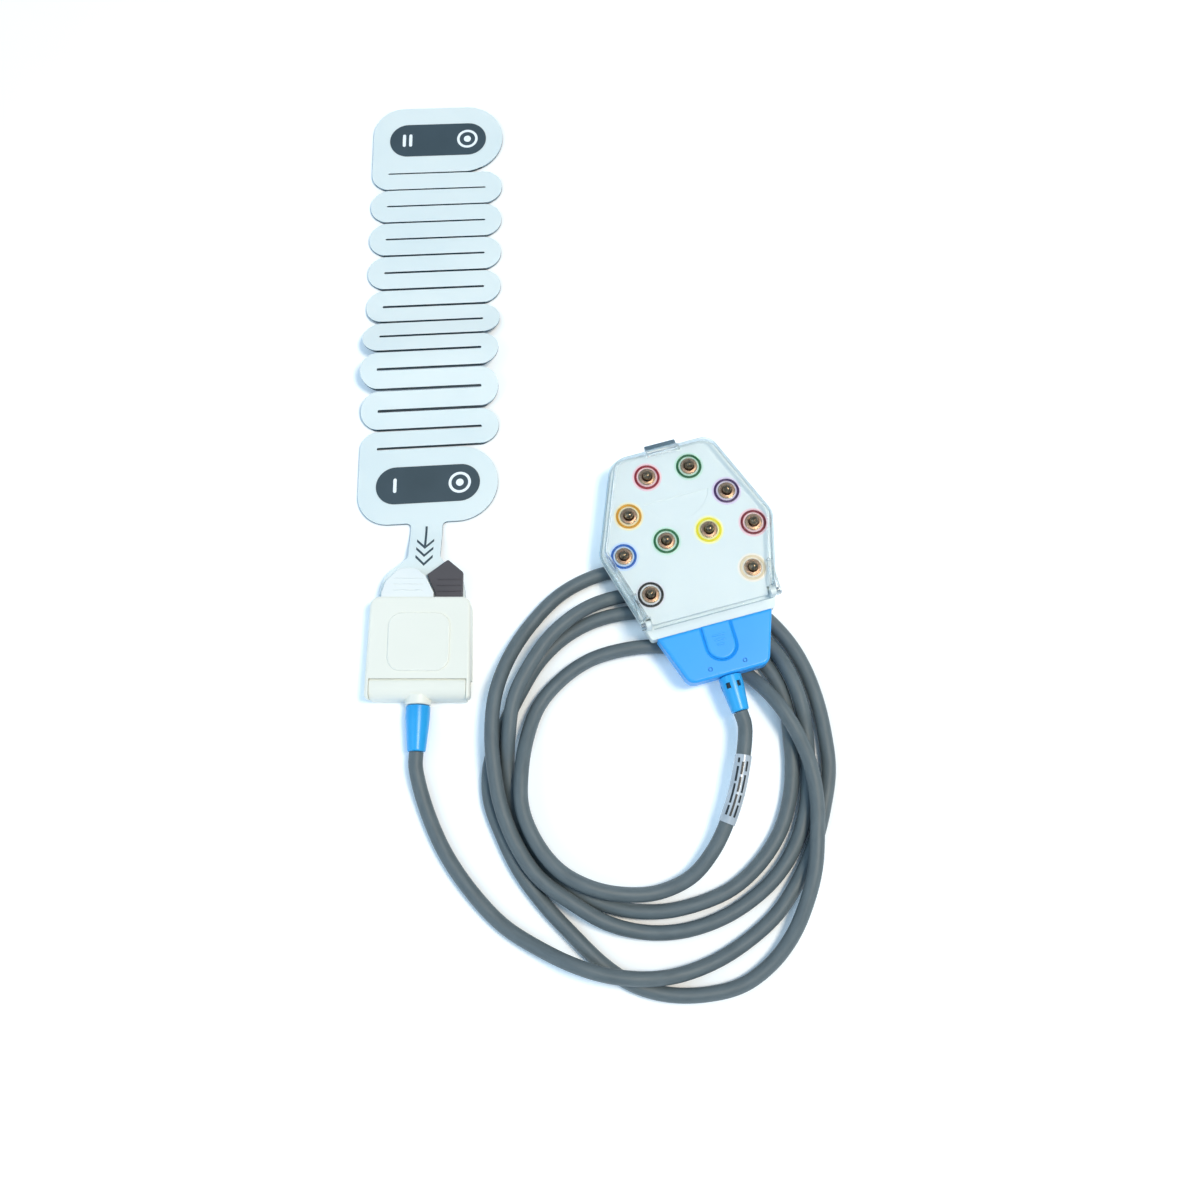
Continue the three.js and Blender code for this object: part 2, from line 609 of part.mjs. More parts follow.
function buildLid() {
  const bottom = clip.splitHeight + fit;
  const body = softBlock(clipOutline(-clip.length), bottom, lid.height, 0, lid.edge);
  const earInner = clip.rearWidth / 2 - lid.earThickness;
  const high = lid.height + overrun;
  const behindEnd = hinge.y + lid.rearReach;
  const behind = box(-earInner, earInner, -clip.length - overrun, behindEnd, bottom - overrun, high);
  const swing = rod(hinge.y, hinge.z, 2 * (barrel.frontRound + fit), -earInner, earInner);
  const under = box(-earInner, earInner, hinge.y, seam + fit, bottom - overrun, hinge.z);
  const cavitySide = jaw.width / 2 + fit;
  const cavityBack = -jaw.setback - jaw.length - fit;
  const cavityFront = fit - jaw.setback;
  const cavityTop = lid.height - lid.roof;
  const cavity = box(-cavitySide, cavitySide, cavityBack, cavityFront, bottom - overrun, cavityTop);
  const notchTop = bottom + jawTab.thickness + rib.height + fit;
  const notchSides = [jawTab.rootLeft - fit, jawTab.right + fit];
  const notch = box(...notchSides, -jaw.setback - fit, overrun, bottom - overrun, notchTop);
  const padBack = -lidPad.setback - lidPad.length;
  const padCorners = rectangle(-lidPad.width / 2, lidPad.width / 2, padBack, -lidPad.setback, lidPad.corner);
  const raised = softBlock(padCorners, lid.height - lid.roof / 2, lid.height + lidPad.rise, 0, lidPad.rise);
  const tabCorners = [
    [lidTab.baseLeft, -lid.wall],
    [lidTab.baseRight, -lid.wall],
    [lidTab.tipRight, lidTab.reach, lid.wall],
    [lidTab.tipLeft, lidTab.reach, lid.wall],
    [lidTab.baseLeft, lid.wall, lid.wall],
  ];
  const tab = softBlock(tabCorners, lidTab.bottom, lidTab.top, 0, rib.height);
  const ribSides = [lidTab.tipLeft - rib.pitch, lidTab.tipRight];
  const tabWithRibs = ribbed(tab, ...ribSides, rib.pitch, rib.count, lidTab.top);
  const bore = rod(hinge.y, hinge.z, hingePin.diameter + 2 * fit, -clip.rearWidth, clip.rearWidth);
  return cut(join(cut(body, behind, swing, under, cavity, notch), raised, tabWithRibs), bore);
}

const jawPadFront = -trace.setback + fit;

function buildJaw() {
  const bottom = clip.splitHeight + fit;
  const side = jaw.width / 2;
  const back = -jaw.setback - jaw.length;
  const block = box(-side, side, back, -jaw.setback, bottom, bottom + jaw.thickness);
  const tab = softBlock(jawTabCorners, bottom, bottom + jawTab.thickness, 0, rib.height);
  const ribSides = [jawTab.rootLeft + rib.width, jawTab.right - rib.width];
  const tabWithRibs = ribbed(tab, ...ribSides, rib.pitch, rib.count, bottom + jawTab.thickness);
  const half = jaw.pocketWidth / 2;
  const pocketRear = jawPadFront - jaw.pocketLength;
  const pocket = box(-half, half, pocketRear, jawPadFront, bottom - overrun, bottom + jaw.pocketDepth);
  return cut(join(block, tabWithRibs), pocket);
}

function buildJawPad() {
  const bottom = clip.splitHeight + fit;
  const side = jaw.pocketWidth / 2 - fit;
  const back = jawPadFront - jaw.pocketLength + fit;
  return box(-side, side, back, jawPadFront - fit, bottom, bottom + jaw.pocketDepth - fit);
}

// Tapered sleeve along -y with a rounded lip at its tip
function reliefSleeve(relief) {
  const root = relief.root / 2;
  const tip = relief.tip / 2;
  const profile = [
    [0, 0],
    [root, 0],
    [root, relief.length / 4],
    [tip, relief.length - relief.lip],
    [tip - relief.lip, relief.length],
    [0, relief.length],
  ].map(([radius, along]) => new THREE.Vector2(radius, along));
  return new THREE.LatheGeometry(profile, roundSides).rotateZ(Math.PI).translate(0, 0, relief.height);
}

function buildClip() {
  const group = new THREE.Group();
  const boardTop = clip.floor + fit + board.thickness;
  const rear = -clipPocket.frontLand - fit;
  const boardSides = [-board.width / 2, board.width / 2];
  const circuitBoard = box(...boardSides, rear - board.length, rear, clip.floor + fit, boardTop);
  const stripSides = [-contactStrip.width / 2, contactStrip.width / 2];
  const stripMiddle = -trace.setback - trace.length / 2;
  const stripEnds = [stripMiddle - contactStrip.length / 2, stripMiddle + contactStrip.length / 2];
  const elastic = box(...stripSides, ...stripEnds, boardTop + fit, tail.height - trace.thickness - fit);
  const pinEnd = clip.rearWidth / 2 - fit;
  const pinRod = rod(hinge.y, hinge.z, hingePin.diameter, -pinEnd, pinEnd);
  const sleeve = reliefSleeve(clipRelief).translate(0, -clip.length - collar.length - fit, 0);
  group.add(piece('clip_base', buildClipBase(), 'white'));
  group.add(piece('clip_board', circuitBoard, 'circuit'));
  group.add(piece('clip_contact_strip', elastic, 'carbon'));
  group.add(piece('clip_hinge_pin', pinRod, 'steel'));
  group.add(piece('clip_lid', buildLid(), 'white'));
  group.add(piece('clip_jaw', buildJaw(), 'dark'));
  group.add(piece('jaw_pressure_pad', buildJawPad(), 'silicone'));
  group.add(piece('clip_strain_relief', sleeve, 'blue'));
  return group;
}

// Snap adapter
function buildShell() {
  const outline = inset(hexagon, shell.inset);
  const body = softBlock(outline, shell.bottom, shell.top, shell.edge, 0);
  const hollow = prism(inset(outline, shell.wall), shell.bottom + shell.floor, shell.top + overrun);
  const rear = adapter.rear;
  const wide = adapter.waistWidth / 2;
  const deckBlock = common(
    prism(outline, shell.bottom + shell.floor / 2, deck.top),
    box(-wide, wide, rear, deck.front, 0, deck.top),
  );
  const postOuter = coverEar.inner - fit;
  const postInner = postOuter - post.thickness;
  const postProfile = [
    [coverPivot.y - post.round, shell.bottom + shell.edge],
    [coverPivot.y + post.round, shell.bottom + shell.edge],
    [coverPivot.y + post.round, coverPivot.z + post.round, post.round],
    [coverPivot.y - post.round, coverPivot.z + post.round, post.round],
  ];
  const posts = [across(postProfile, -postOuter, -postInner), across(postProfile, postInner, postOuter)];
  const screwPosts = screwCentres.map(([x, y]) =>
    upright(x, y, screw.post, shell.bottom + shell.floor / 2, shell.top));
  const cutDeck = box(-wide, wide, rear - overrun, deck.front, deck.top, shell.top + overrun);
  const hollowShell = cut(body, hollow, cutDeck);
  const mouthMargin = socket.wall + 2 * fit;
  const mouthSide = tongue.width / 2 + mouthMargin;
  const mouth = socketBlock(mouthSide, rear - overrun, deck.front + overrun, mouthMargin);
  const headTop = shell.bottom + screw.sink + screw.headHeight + fit;
  const holes = screwCentres.flatMap(([x, y]) => [
    upright(x, y, screw.head + 2 * fit, shell.bottom - overrun, headTop, screw.sides),
    upright(x, y, screw.shank + 2 * fit, shell.bottom, shell.top + overrun, screw.sides),
  ]);
  const pinEnd = coverEar.inner + coverEar.thickness + overrun;
  const boreSize = coverPivot.pin + 2 * fit;
  const pinBore = rod(coverPivot.y, coverPivot.z, boreSize, -pinEnd, pinEnd, screw.sides);
  const latchSide = latch.width / 2 + latchPocket.side;
  const latchTop = adapter.front;
  const pocketLow = latch.bottom - fit;
  const pocketRear = latchTop - latchPocket.depth;
  const outside = latchTop + overrun;
  const wallPocket = box(-latchSide, latchSide, pocketRear, outside, pocketLow, shell.top + overrun);
  const hookTop = latch.bottom + latch.hookHeight + fit;
  const hookPocket = box(-latchSide, latchSide, pocketRear - latch.hook, latchTop, pocketLow, hookTop);
  const noseSide = button.noseWidth / 2 + fit;
  const noseFront = plug.front + button.noseReach + fit;
  const noseLow = button.bottom - button.travel - fit;
  const nose = box(-noseSide, noseSide, rear - overrun, noseFront, noseLow, shell.top);
  const whole = join(hollowShell, deckBlock, ...posts, ...screwPosts);
  return cut(whole, mouth, ...holes, pinBore, wallPocket, hookPocket, nose);
}

// A box round the contact tongue, larger than it by the given margin
function socketBlock(side, rear, front, margin) {
  return box(-side, side, rear, front, tongue.bottom - margin, tongue.bottom + tongue.thickness + margin);
}

function buildSocket() {
  const margin = fit + socket.wall;
  const side = tongue.width / 2;
  const outer = socketBlock(side + margin, socket.rear, socket.front, margin);
  const inner = socketBlock(side + fit, socket.rear - overrun, socket.front + overrun, fit);
  return cut(outer, inner);
}

function buildPlate() {
  const outline = inset(hexagon, plate.inset);
  const body = softBlock(outline, plate.bottom, plate.top, 0, plate.edge);
  const wide = adapter.waistWidth / 2;
  const high = plate.top + overrun;
  const rearCut = box(-wide, wide, adapter.rear, deck.front + fit, plate.bottom - overrun, high);
  const moonFloor = plate.top - moon.depth;
  const moonDisc = upright(0, moon.centre, 2 * moon.radius, moonFloor, high, 2 * roundSides);
  const moonCut = common(moonDisc, box(-wide, wide, moon.chord - moon.radius, moon.chord, 0, cover.top));
  const dimples = dimpleShares.map(onAdapter).map(([x, y]) =>
    upright(x, y, dimple.diameter, plate.top - dimple.depth, high));
  const holes = Object.values(studShares).map(onAdapter).map(([x, y]) =>
    upright(x, y, stud.shank + 2 * fit, plate.bottom - overrun, high, screw.sides));
  const screwHoles = screwCentres.map(([x, y]) =>
    upright(x, y, screw.shank + 2 * fit, plate.bottom - overrun, screw.tip + fit, screw.sides));
  return cut(body, rearCut, moonCut, ...dimples, ...holes, ...screwHoles);
}

// Snap stud: shank through the plate, flange, dished cup and ball
function buildStud() {
  const flange = plate.top + fit;
  const flangeTop = flange + stud.flangeRise;
  const ballRadius = stud.ball / 2;
  const ballCentre = flange + stud.height - ballRadius;
  const profile = [
    [0, plate.bottom],
    [stud.shank / 2, plate.bottom],
    [stud.shank / 2, flange],
    [stud.flange / 2, flange],
    [stud.flange / 2, flangeTop - fit],
    [stud.dish / 2, flangeTop],
    [stud.neck / 2, flangeTop],
    [stud.neck / 2, ballCentre - ballRadius * Math.cos(Math.PI / 4)],
  ];
  for (const step of [-1, 0, 1, 2]) {
    const angle = (step * Math.PI) / 7;
    profile.push([ballRadius * Math.cos(angle), ballCentre + ballRadius * Math.sin(angle)]);
  }
  profile.push([0, flange + stud.height]);
  const points = profile.map(([radius, height]) => new THREE.Vector2(radius, height));
  return new THREE.LatheGeometry(points, screw.sides).rotateX(Math.PI / 2);
}

function buildRing() {
  const shape = new THREE.Shape().absarc(0, 0, ring.outer / 2, 0, 2 * Math.PI, false);
  shape.holes.push(new THREE.Path().absarc(0, 0, ring.inner / 2, 0, 2 * Math.PI, true));
  return prism(shape, plate.top, plate.top + ring.thickness, roundSides / 2);
}

function buildCircuit() {
  const outline = inset(hexagon, circuit.inset);
  const body = prism(outline, circuit.bottom, circuit.bottom + circuit.thickness);
  const wide = adapter.waistWidth / 2;
  const rearCut = box(-wide, wide, adapter.rear, circuit.front, 0, cover.top);
  const holes = screwCentres.map(([x, y]) => upright(x, y, screw.post + 2 * fit, 0, cover.top));
  return cut(body, rearCut, ...holes);
}

function buildResistorPack(side) {
  const top = circuit.bottom - fit;
  const x = side * resistor.x;
  const ends = [x - resistor.length / 2, x + resistor.length / 2];
  const edges = [resistor.y - resistor.width / 2, resistor.y + resistor.width / 2];
  return box(...ends, ...edges, top - resistor.thickness, top);
}

function buildScrew() {
  const seat = shell.bottom + screw.sink;
  const profile = [
    [0, seat],
    [screw.head / 2, seat],
    [screw.head / 2, seat + screw.headHeight],
    [screw.shank / 2, seat + screw.headHeight],
    [screw.shank / 2, screw.tip],
    [0, screw.tip],
  ].map(([radius, height]) => new THREE.Vector2(radius, height));
  return new THREE.LatheGeometry(profile, screw.sides).rotateX(Math.PI / 2);
}

// Clear cover: a drafted skirt on three sides, a flat top and two hinge ears
function buildCover() {
  const rise = cover.shoulder - cover.bottom;
  const eased = cover.edge * (1 - Math.SQRT1_2);
  const outer = loft([
    [hexagon, cover.bottom],
    [inset(hexagon, cover.draft), cover.shoulder],
    [inset(hexagon, cover.draft + eased), cover.top - eased],
    [inset(hexagon, cover.draft + cover.edge), cover.top],
  ]);
  const innerTop = cover.top - cover.wall;
  const innerDraft = (cover.draft * (innerTop - cover.bottom)) / rise;
  const lowDraft = (-cover.draft * overrun) / rise;
  const inner = loft([
    [inset(hexagon, cover.wall + lowDraft), cover.bottom - overrun],
    [inset(hexagon, cover.wall + innerDraft), innerTop],
  ]);
  const wide = adapter.waistWidth / 2 + overrun;
  const rear = adapter.rear - overrun;
  const lipSide = coverEar.inner - post.thickness - 2 * fit;
  const high = cover.top + overrun;
  const cheekEnd = coverPivot.y + post.round + fit;
  const rearCuts = [
    box(-wide, wide, rear, cover.rear, 0, high),
    box(-wide, wide, rear, cover.skirtEnd, 0, innerTop),
    box(-wide, -lipSide, rear, cheekEnd, 0, high),
    box(lipSide, wide, rear, cheekEnd, 0, high),
  ];
  const shellBody = cut(outer, inner, ...rearCuts);
  const earRear = coverPivot.y - coverPivot.round;
  const earProfile = [
    [earRear, coverEar.low, coverPivot.round / 2],
    [coverEar.front, coverEar.low, coverEar.corner],
    [coverEar.front, coverEar.high, coverEar.corner],
    [earRear, coverEar.high, coverPivot.round / 2],
  ];
  const earOuter = coverEar.inner + coverEar.thickness;
  const sideways = [[-earOuter, -coverEar.inner], [coverEar.inner, earOuter]];
  const ears = sideways.map(([from, to]) => across(earProfile, from, to));
  const boreEnd = earOuter + overrun;
  const boreSize = coverPivot.pin + 2 * fit;
  const pinBore = rod(coverPivot.y, coverPivot.z, boreSize, -boreEnd, boreEnd, screw.sides);
  const slotSide = latch.width / 2 + fit;
  const latchBack = adapter.front - cover.draft - latch.thickness - latch.reach;
  const latchSlot = box(-slotSide, slotSide, latchBack, adapter.front + overrun, 0, high);
  return cut(join(shellBody, ...ears), pinBore, latchSlot);
}

// Latch tab in the cover's front wall, with a hook at its foot and a finger lever outside
function buildLatch() {
  const front = adapter.front;
  const side = latch.width / 2;
  const back = front - cover.draft - latch.thickness - latch.reach + fit;
  const inside = front - latch.thickness;
  const underside = cover.top - cover.wall;
  const profile = [
    [inside - latch.hook, latch.bottom],
    [front, latch.bottom],
    [front, cover.bottom],
    [front + latch.reach, cover.bottom + latch.leverHeight],
    [front + latch.reach, cover.bottom + 2 * latch.leverHeight],
    [front - cover.draft / 2, latch.top - latch.leverHeight],
    [front - cover.draft, cover.top],
    [back, cover.top],
    [back, underside],
    [inside - cover.draft, underside],
    [inside, cover.bottom],
    [inside, latch.bottom + latch.hookHeight],
    [inside - latch.hook, latch.bottom + latch.hookHeight / 2],
  ];
  return across(profile, -side, side);
}

function buildHingePin(side) {
  const outer = coverEar.inner + coverEar.thickness - fit;
  const inner = coverEar.inner - fit - post.thickness;
  const [from, to] = side < 0 ? [-outer, -inner] : [inner, outer];
  return rod(coverPivot.y, coverPivot.z, coverPivot.pin, from, to, screw.sides);
}

function buildAdapter() {
  const group = new THREE.Group();
  group.add(piece('adapter_shell', buildShell(), 'white'));
  group.add(piece('adapter_plate', buildPlate(), 'white'));
  group.add(piece('adapter_circuit', buildCircuit(), 'circuit'));
  group.add(piece('resistor_pack_left', buildResistorPack(-1), 'resistor'));
  group.add(piece('resistor_pack_right', buildResistorPack(1), 'resistor'));
  group.add(piece('adapter_socket', buildSocket(), 'dark'));
  Object.entries(screwShares).forEach(([place, shares]) => {
    const [x, y] = onAdapter(shares);
    group.add(piece(`shell_screw_${place}`, buildScrew().translate(x, y, 0), 'steel'));
  });
  Object.entries(studShares).forEach(([colour, shares]) => {
    const [x, y] = onAdapter(shares);
    group.add(piece(`snap_stud_${colour}`, buildStud().translate(x, y, 0), 'gold'));
    group.add(piece(`lead_ring_${colour}`, buildRing().translate(x, y, 0), 'white', ringColours[colour]));
  });
  group.add(piece('clear_cover', buildCover(), 'clear'));
  group.add(piece('cover_latch', buildLatch(), 'clear'));
  group.add(piece('cover_hinge_pin_left', buildHingePin(-1), 'steel'));
  group.add(piece('cover_hinge_pin_right', buildHingePin(1), 'steel'));
  return group;
}

// Trunk plug
const plugOutline = () => [
  [-plug.rearWidth / 2, plug.rear, plugCorner.rear],
  [plug.rearWidth / 2, plug.rear, plugCorner.rear],
  [plug.frontWidth / 2, plug.front, plugCorner.front],
  [-plug.frontWidth / 2, plug.front, plugCorner.front],
];

// The button's U shape, and with a margin the opening round it, which runs out through the plug's front
function buttonOutline(margin) {
  const side = button.width / 2 + margin;
  const rear = button.rear - margin;
  const front = margin > 0 ? plug.front + overrun : plug.front;
  return [[-side, rear, side - fit], [side, rear, side - fit], [side, front], [-side, front]];
}

function buildPlugTop() {
  const body = softBlock(plugOutline(), plug.split + fit, plug.top, 0, plugCorner.edge);
  const opening = prism(buttonOutline(fit), plug.split - overrun, plug.top + overrun, lobeSteps);
  const dimpleFloor = plug.top - plugDimple.depth;
  const dimples = [-plugDimple.x, plugDimple.x].map((x) =>
    upright(x, plugDimple.y, plugDimple.diameter, dimpleFloor, plug.top + overrun, screw.sides));
  return cut(body, opening, ...dimples);
}

function buildPlugBottom() {
  const body = softBlock(plugOutline(), plug.bottom, plug.split, plugCorner.edge, 0);
  const side = tongue.width / 2 + fit;
  const seatFloor = tongue.bottom - fit;
  const seat = box(-side, side, tongue.rear - fit, plug.front + overrun, seatFloor, plug.split + overrun);
  return cut(body, seat);
}

function buildButton() {
  const corners = buttonOutline(0);
  const body = softBlock(corners, button.bottom, plug.top + button.rise, 0, button.rise);
  const noseSide = button.noseWidth / 2;
  const noseEnds = [plug.front - button.noseReach, plug.front + button.noseReach];
  const noseHeights = [button.bottom, button.bottom + button.travel / 2];
  const nose = box(-noseSide, noseSide, ...noseEnds, ...noseHeights);
  return join(body, nose);
}

// Tongue of the plug with its row of contact strips
function buildTongue() {
  const side = tongue.width / 2;
  const top = tongue.bottom + tongue.thickness;
  const body = box(-side, side, tongue.rear, tongue.front, tongue.bottom, top);
  const front = tongue.front - pin.pitch / 2;
  const pins = Array.from({ length: pin.count }, (_, k) => {
    const x = (k - (pin.count - 1) / 2) * pin.pitch;
    const sides = [x - pin.width / 2, x + pin.width / 2];
    return box(...sides, front - pin.length, front, top - pin.thickness, top + pin.thickness);
  });
  return join(body, ...pins);
}

function buildPlugRelief() {
  const sleeve = reliefSleeve(plugRelief);
  const windows = Array.from({ length: window.count }, (_, k) => {
    const cutter = new THREE.BoxGeometry(window.width, window.length, 2 * window.depth);
    cutter.translate(0, -window.setback, plugRelief.root / 2);
    return cutter.rotateY(((k + 1 / 2) / window.count) * 2 * Math.PI).translate(0, 0, plugRelief.height);
  });
  return cut(sleeve, ...windows).translate(0, plug.rear - fit, 0);
}

function buildPlug() {
  const group = new THREE.Group();
  group.add(piece('plug_top', buildPlugTop(), 'blue'));
  group.add(piece('plug_bottom', buildPlugBottom(), 'blue'));
  group.add(piece('release_button', buildButton(), 'blue'));
  group.add(piece('plug_tongue', buildTongue(), 'white'));
  group.add(piece('plug_strain_relief', buildPlugRelief(), 'blue'));
  return group;
}

// Trunk cable: from the tip of one strain relief to the tip of the other
function cablePath() {
  const turn = THREE.MathUtils.degToRad(adapterPlace.turn);
  const clipTip = clipPlace.y - clip.length - collar.length - 2 * fit - clipRelief.length;
  const start = new THREE.Vector3(clipPlace.x, clipTip, clipRelief.height);
  const outward = new THREE.Vector3(Math.sin(turn), -Math.cos(turn), 0);
  const reach = -plug.rear + 2 * fit + plugRelief.length;
  const end = new THREE.Vector3(adapterPlace.x, adapterPlace.y, plugRelief.height);
  end.addScaledVector(outward, reach);
  const points = [
    start,
    start.clone().add(new THREE.Vector3(0, -cable.diameter, 0)),
    ...route.map(([x, y, z]) => new THREE.Vector3(x, y, z)),
    end.clone().addScaledVector(outward, cable.diameter),
    end,
  ];
  return new THREE.CatmullRomCurve3(points, false, 'centripetal');
}

// Least distance between the skins of two stretches that aren't neighbours along the cable
function leastGap(path) {
  const count = Math.round(path.getLength() / cable.sampleStep);
  const points = path.getSpacedPoints(count);
  const apart = Math.ceil(cable.nearAlong / cable.sampleStep);
  let least = Infinity;
  for (let a = 0; a < points.length; a += 1) {
    for (let b = a + apart; b < points.length; b += 1) {
      least = Math.min(least, points[a].distanceTo(points[b]));
    }
  }
  return least - cable.diameter;
}

function circle(radius, sides) {
  return Array.from({ length: sides }, (_, k) => {
    const angle = (2 * Math.PI * k) / sides;
    return new THREE.Vector2(radius * Math.cos(angle), radius * Math.sin(angle));
  });
}

function buildCable(path) {
  const section = new THREE.Shape(circle(cable.diameter / 2, cable.sides));
  return new THREE.ExtrudeGeometry(section, { steps: cable.steps, bevelEnabled: false, extrudePath: path });
}

function buildLabel(path) {
  const total = path.getLength();
  const at = (distance) => path.getPointAt((total - distance) / total);
  const shares = Array.from({ length: label.steps + 1 }, (_, k) => k / label.steps);
  const points = shares.map((share) => at(label.start + label.length * (1 - share)));
  const inner = cable.diameter / 2 + fit;
  const section = new THREE.Shape(circle(inner + label.thickness, label.sides));
  section.holes.push(new THREE.Path(circle(inner, label.sides).reverse()));
  const along = new THREE.CatmullRomCurve3(points, false, 'centripetal');
  const options = { steps: 2 * label.steps, bevelEnabled: false, extrudePath: along };
  return new THREE.ExtrudeGeometry(section, options);
}

// Assembly
const device = new THREE.Group();
const leadEnd = new THREE.Group();
leadEnd.position.set(clipPlace.x, clipPlace.y, 0);
leadEnd.add(buildPatch(), buildClip());
const adapterEnd = new THREE.Group();
adapterEnd.position.set(adapterPlace.x, adapterPlace.y, 0);
adapterEnd.rotation.z = THREE.MathUtils.degToRad(adapterPlace.turn);
adapterEnd.add(buildAdapter(), buildPlug());
const path = cablePath();
device.add(leadEnd, adapterEnd);
device.add(piece('trunk_cable', buildCable(path), 'cable'), piece('cable_label', buildLabel(path), 'label'));
const cableReport = [path.getLength().toFixed(0), leastGap(path).toFixed(2)];
console.log(`cable length ${cableReport[0]} mm, least gap to itself ${cableReport[1]} mm`);

export default device;
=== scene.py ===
# %% [markdown]
# # An electrode patch, its clip, its trunk cable and its snap adapter
#
# Four things lie on a white table. A foam patch cut into a serpentine carries
# round gels. A white clip bites the patch's tail. A grey cable runs in loose
# loops to a blue plug, and the plug feeds a white hexagonal adapter with ten
# snap studs under a clear hinged cover. The solids already stand in their
# places. This lesson gives each one its real surface. Most are made anew,
# because their forms are soft or finely rounded. Only the boards, the screws,
# the pins and the plug's tongue keep the form of their solids.

# %% Load the fixed solids
import json
import math

import bmesh
import bpy
import numpy as np
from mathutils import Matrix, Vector, geometry

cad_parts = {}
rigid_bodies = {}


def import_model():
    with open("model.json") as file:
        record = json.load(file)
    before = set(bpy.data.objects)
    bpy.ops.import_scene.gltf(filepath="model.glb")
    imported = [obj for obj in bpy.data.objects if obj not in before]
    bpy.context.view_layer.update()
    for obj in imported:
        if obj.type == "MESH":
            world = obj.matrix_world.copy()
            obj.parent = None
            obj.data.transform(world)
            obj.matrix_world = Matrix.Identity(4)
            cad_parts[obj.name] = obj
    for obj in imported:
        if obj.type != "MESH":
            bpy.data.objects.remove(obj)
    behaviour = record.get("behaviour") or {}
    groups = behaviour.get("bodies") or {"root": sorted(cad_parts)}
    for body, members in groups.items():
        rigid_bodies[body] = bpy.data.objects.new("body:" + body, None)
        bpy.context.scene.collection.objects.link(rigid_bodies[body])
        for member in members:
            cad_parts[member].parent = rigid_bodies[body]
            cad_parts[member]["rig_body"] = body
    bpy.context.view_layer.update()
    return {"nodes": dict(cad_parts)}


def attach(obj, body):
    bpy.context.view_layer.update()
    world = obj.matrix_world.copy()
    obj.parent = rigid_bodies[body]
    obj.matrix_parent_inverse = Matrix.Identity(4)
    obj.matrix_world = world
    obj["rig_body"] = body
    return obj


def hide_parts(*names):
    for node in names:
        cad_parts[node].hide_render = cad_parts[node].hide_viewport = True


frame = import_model()
solids = frame["nodes"]
MM = 0.001

# %% [markdown]
# ## The camera
#
# The photograph looks down from about half a metre, tipped fifteen degrees
# away from straight down. A square picture whose side is as long as the
# focal length in pixels has a view about 53 degrees wide, which a 36 mm
# sensor gives with a 36 mm lens.

# %% Camera
def show(name, data):
    """A new object in the scene."""
    made = bpy.data.objects.new(name, data)
    bpy.context.scene.collection.objects.link(made)
    return made


camera = show("camera", bpy.data.cameras.new("camera"))
camera.data.sensor_width, camera.data.lens = 36, 36
camera.location = (16.4 * MM, -222.85 * MM, 498.4 * MM)
camera.rotation_euler = (math.radians(15), 0, 0)
bpy.context.scene.camera = camera

# %% [markdown]
# ## Places on the table
#
# The clip and the patch share one straight frame. The adapter and the plug
# share another, turned a little. Three short functions carry points from
# those frames to the table.

# %% Frames of the two ends
CLIP = np.array([-59.1, -90.65, 0.0])
NECK_LENGTH = 35.9
ADAPTER = np.array([58.9, -85.6, 0.0])
TURN = math.radians(15.5)
TURNED = np.array([[math.cos(TURN), -math.sin(TURN), 0], [math.sin(TURN), math.cos(TURN), 0], [0, 0, 1]])


def by_clip(points):
    """Points in the clip's frame, moved to the table."""
    return np.asarray(points, float) + CLIP


def by_patch(points):
    """Points in the patch's frame, whose origin is the lower pad's edge, moved to the table."""
    return by_clip(points) + [0, NECK_LENGTH, 0]


def by_adapter(points):
    """Points in the adapter's frame, turned and moved to the table."""
    return np.asarray(points, float) @ TURNED.T + ADAPTER


# %% [markdown]
# ## From arrays to meshes
#
# Nearly every piece here is a skin: a stack of closed rings, each with the
# same number of points, joined ring to ring and shut at both ends. A tube, a
# turned stud, a rounded block and a bevelled sheet are all such stacks, so
# one function turns a grid of points into a mesh.

# %% Skins
def unit(vectors):
    """The same directions with length one."""
    return vectors / np.linalg.norm(vectors, axis=1, keepdims=True)


def skin(grid, ends="flat"):
    """Points and faces of a skin over grid[ring, point], with quads between neighbouring rings. Its
    ends are flat faces or open, or the last ring joins the first in a loop."""
    rings, count = grid.shape[:2]
    spans = rings if ends == "loop" else rings - 1
    ring, spot = np.meshgrid(np.arange(spans), np.arange(count), indexing="ij")
    here, after = ring * count, (ring + 1) % rings * count
    beside = (spot + 1) % count
    quads = np.stack([here + spot, here + beside, after + beside, after + spot], axis=-1)
    faces = quads.reshape(-1, 4).tolist()
    if ends == "flat":
        faces += [list(range(count))[::-1], list(range((rings - 1) * count, rings * count))]
    return grid.reshape(-1, 3), faces


def make(name, *parts):
    """An object at the origin from parts of points in millimetres and faces. Double points, such as
    those at a pole, are merged, and all faces are turned outwards."""
    starts = np.cumsum([0] + [len(points) for points, _ in parts])
    faces = [[start + corner for corner in face] for start, (_, some) in zip(starts, parts) for face in some]
    mesh = bpy.data.meshes.new(name)
    mesh.from_pydata((np.vstack([points for points, _ in parts]) * MM).tolist(), [], faces)
    work = bmesh.new()
    work.from_mesh(mesh)
    bmesh.ops.remove_doubles(work, verts=work.verts, dist=1e-7)
    bmesh.ops.recalc_face_normals(work, faces=work.faces)
    work.to_mesh(mesh)
    work.free()
    return show(name, mesh)


def mould(name, place, *grids, ends="flat"):
    """An object of skins over grids that place carries to the table."""
    return make(name, *(skin(place(grid), ends) for grid in grids))


def tools(place, *grids, ends="flat"):
    """One object for each grid, to be cut out of a piece or joined to it."""
    return [mould("tool", place, grid, ends=ends) for grid in grids]


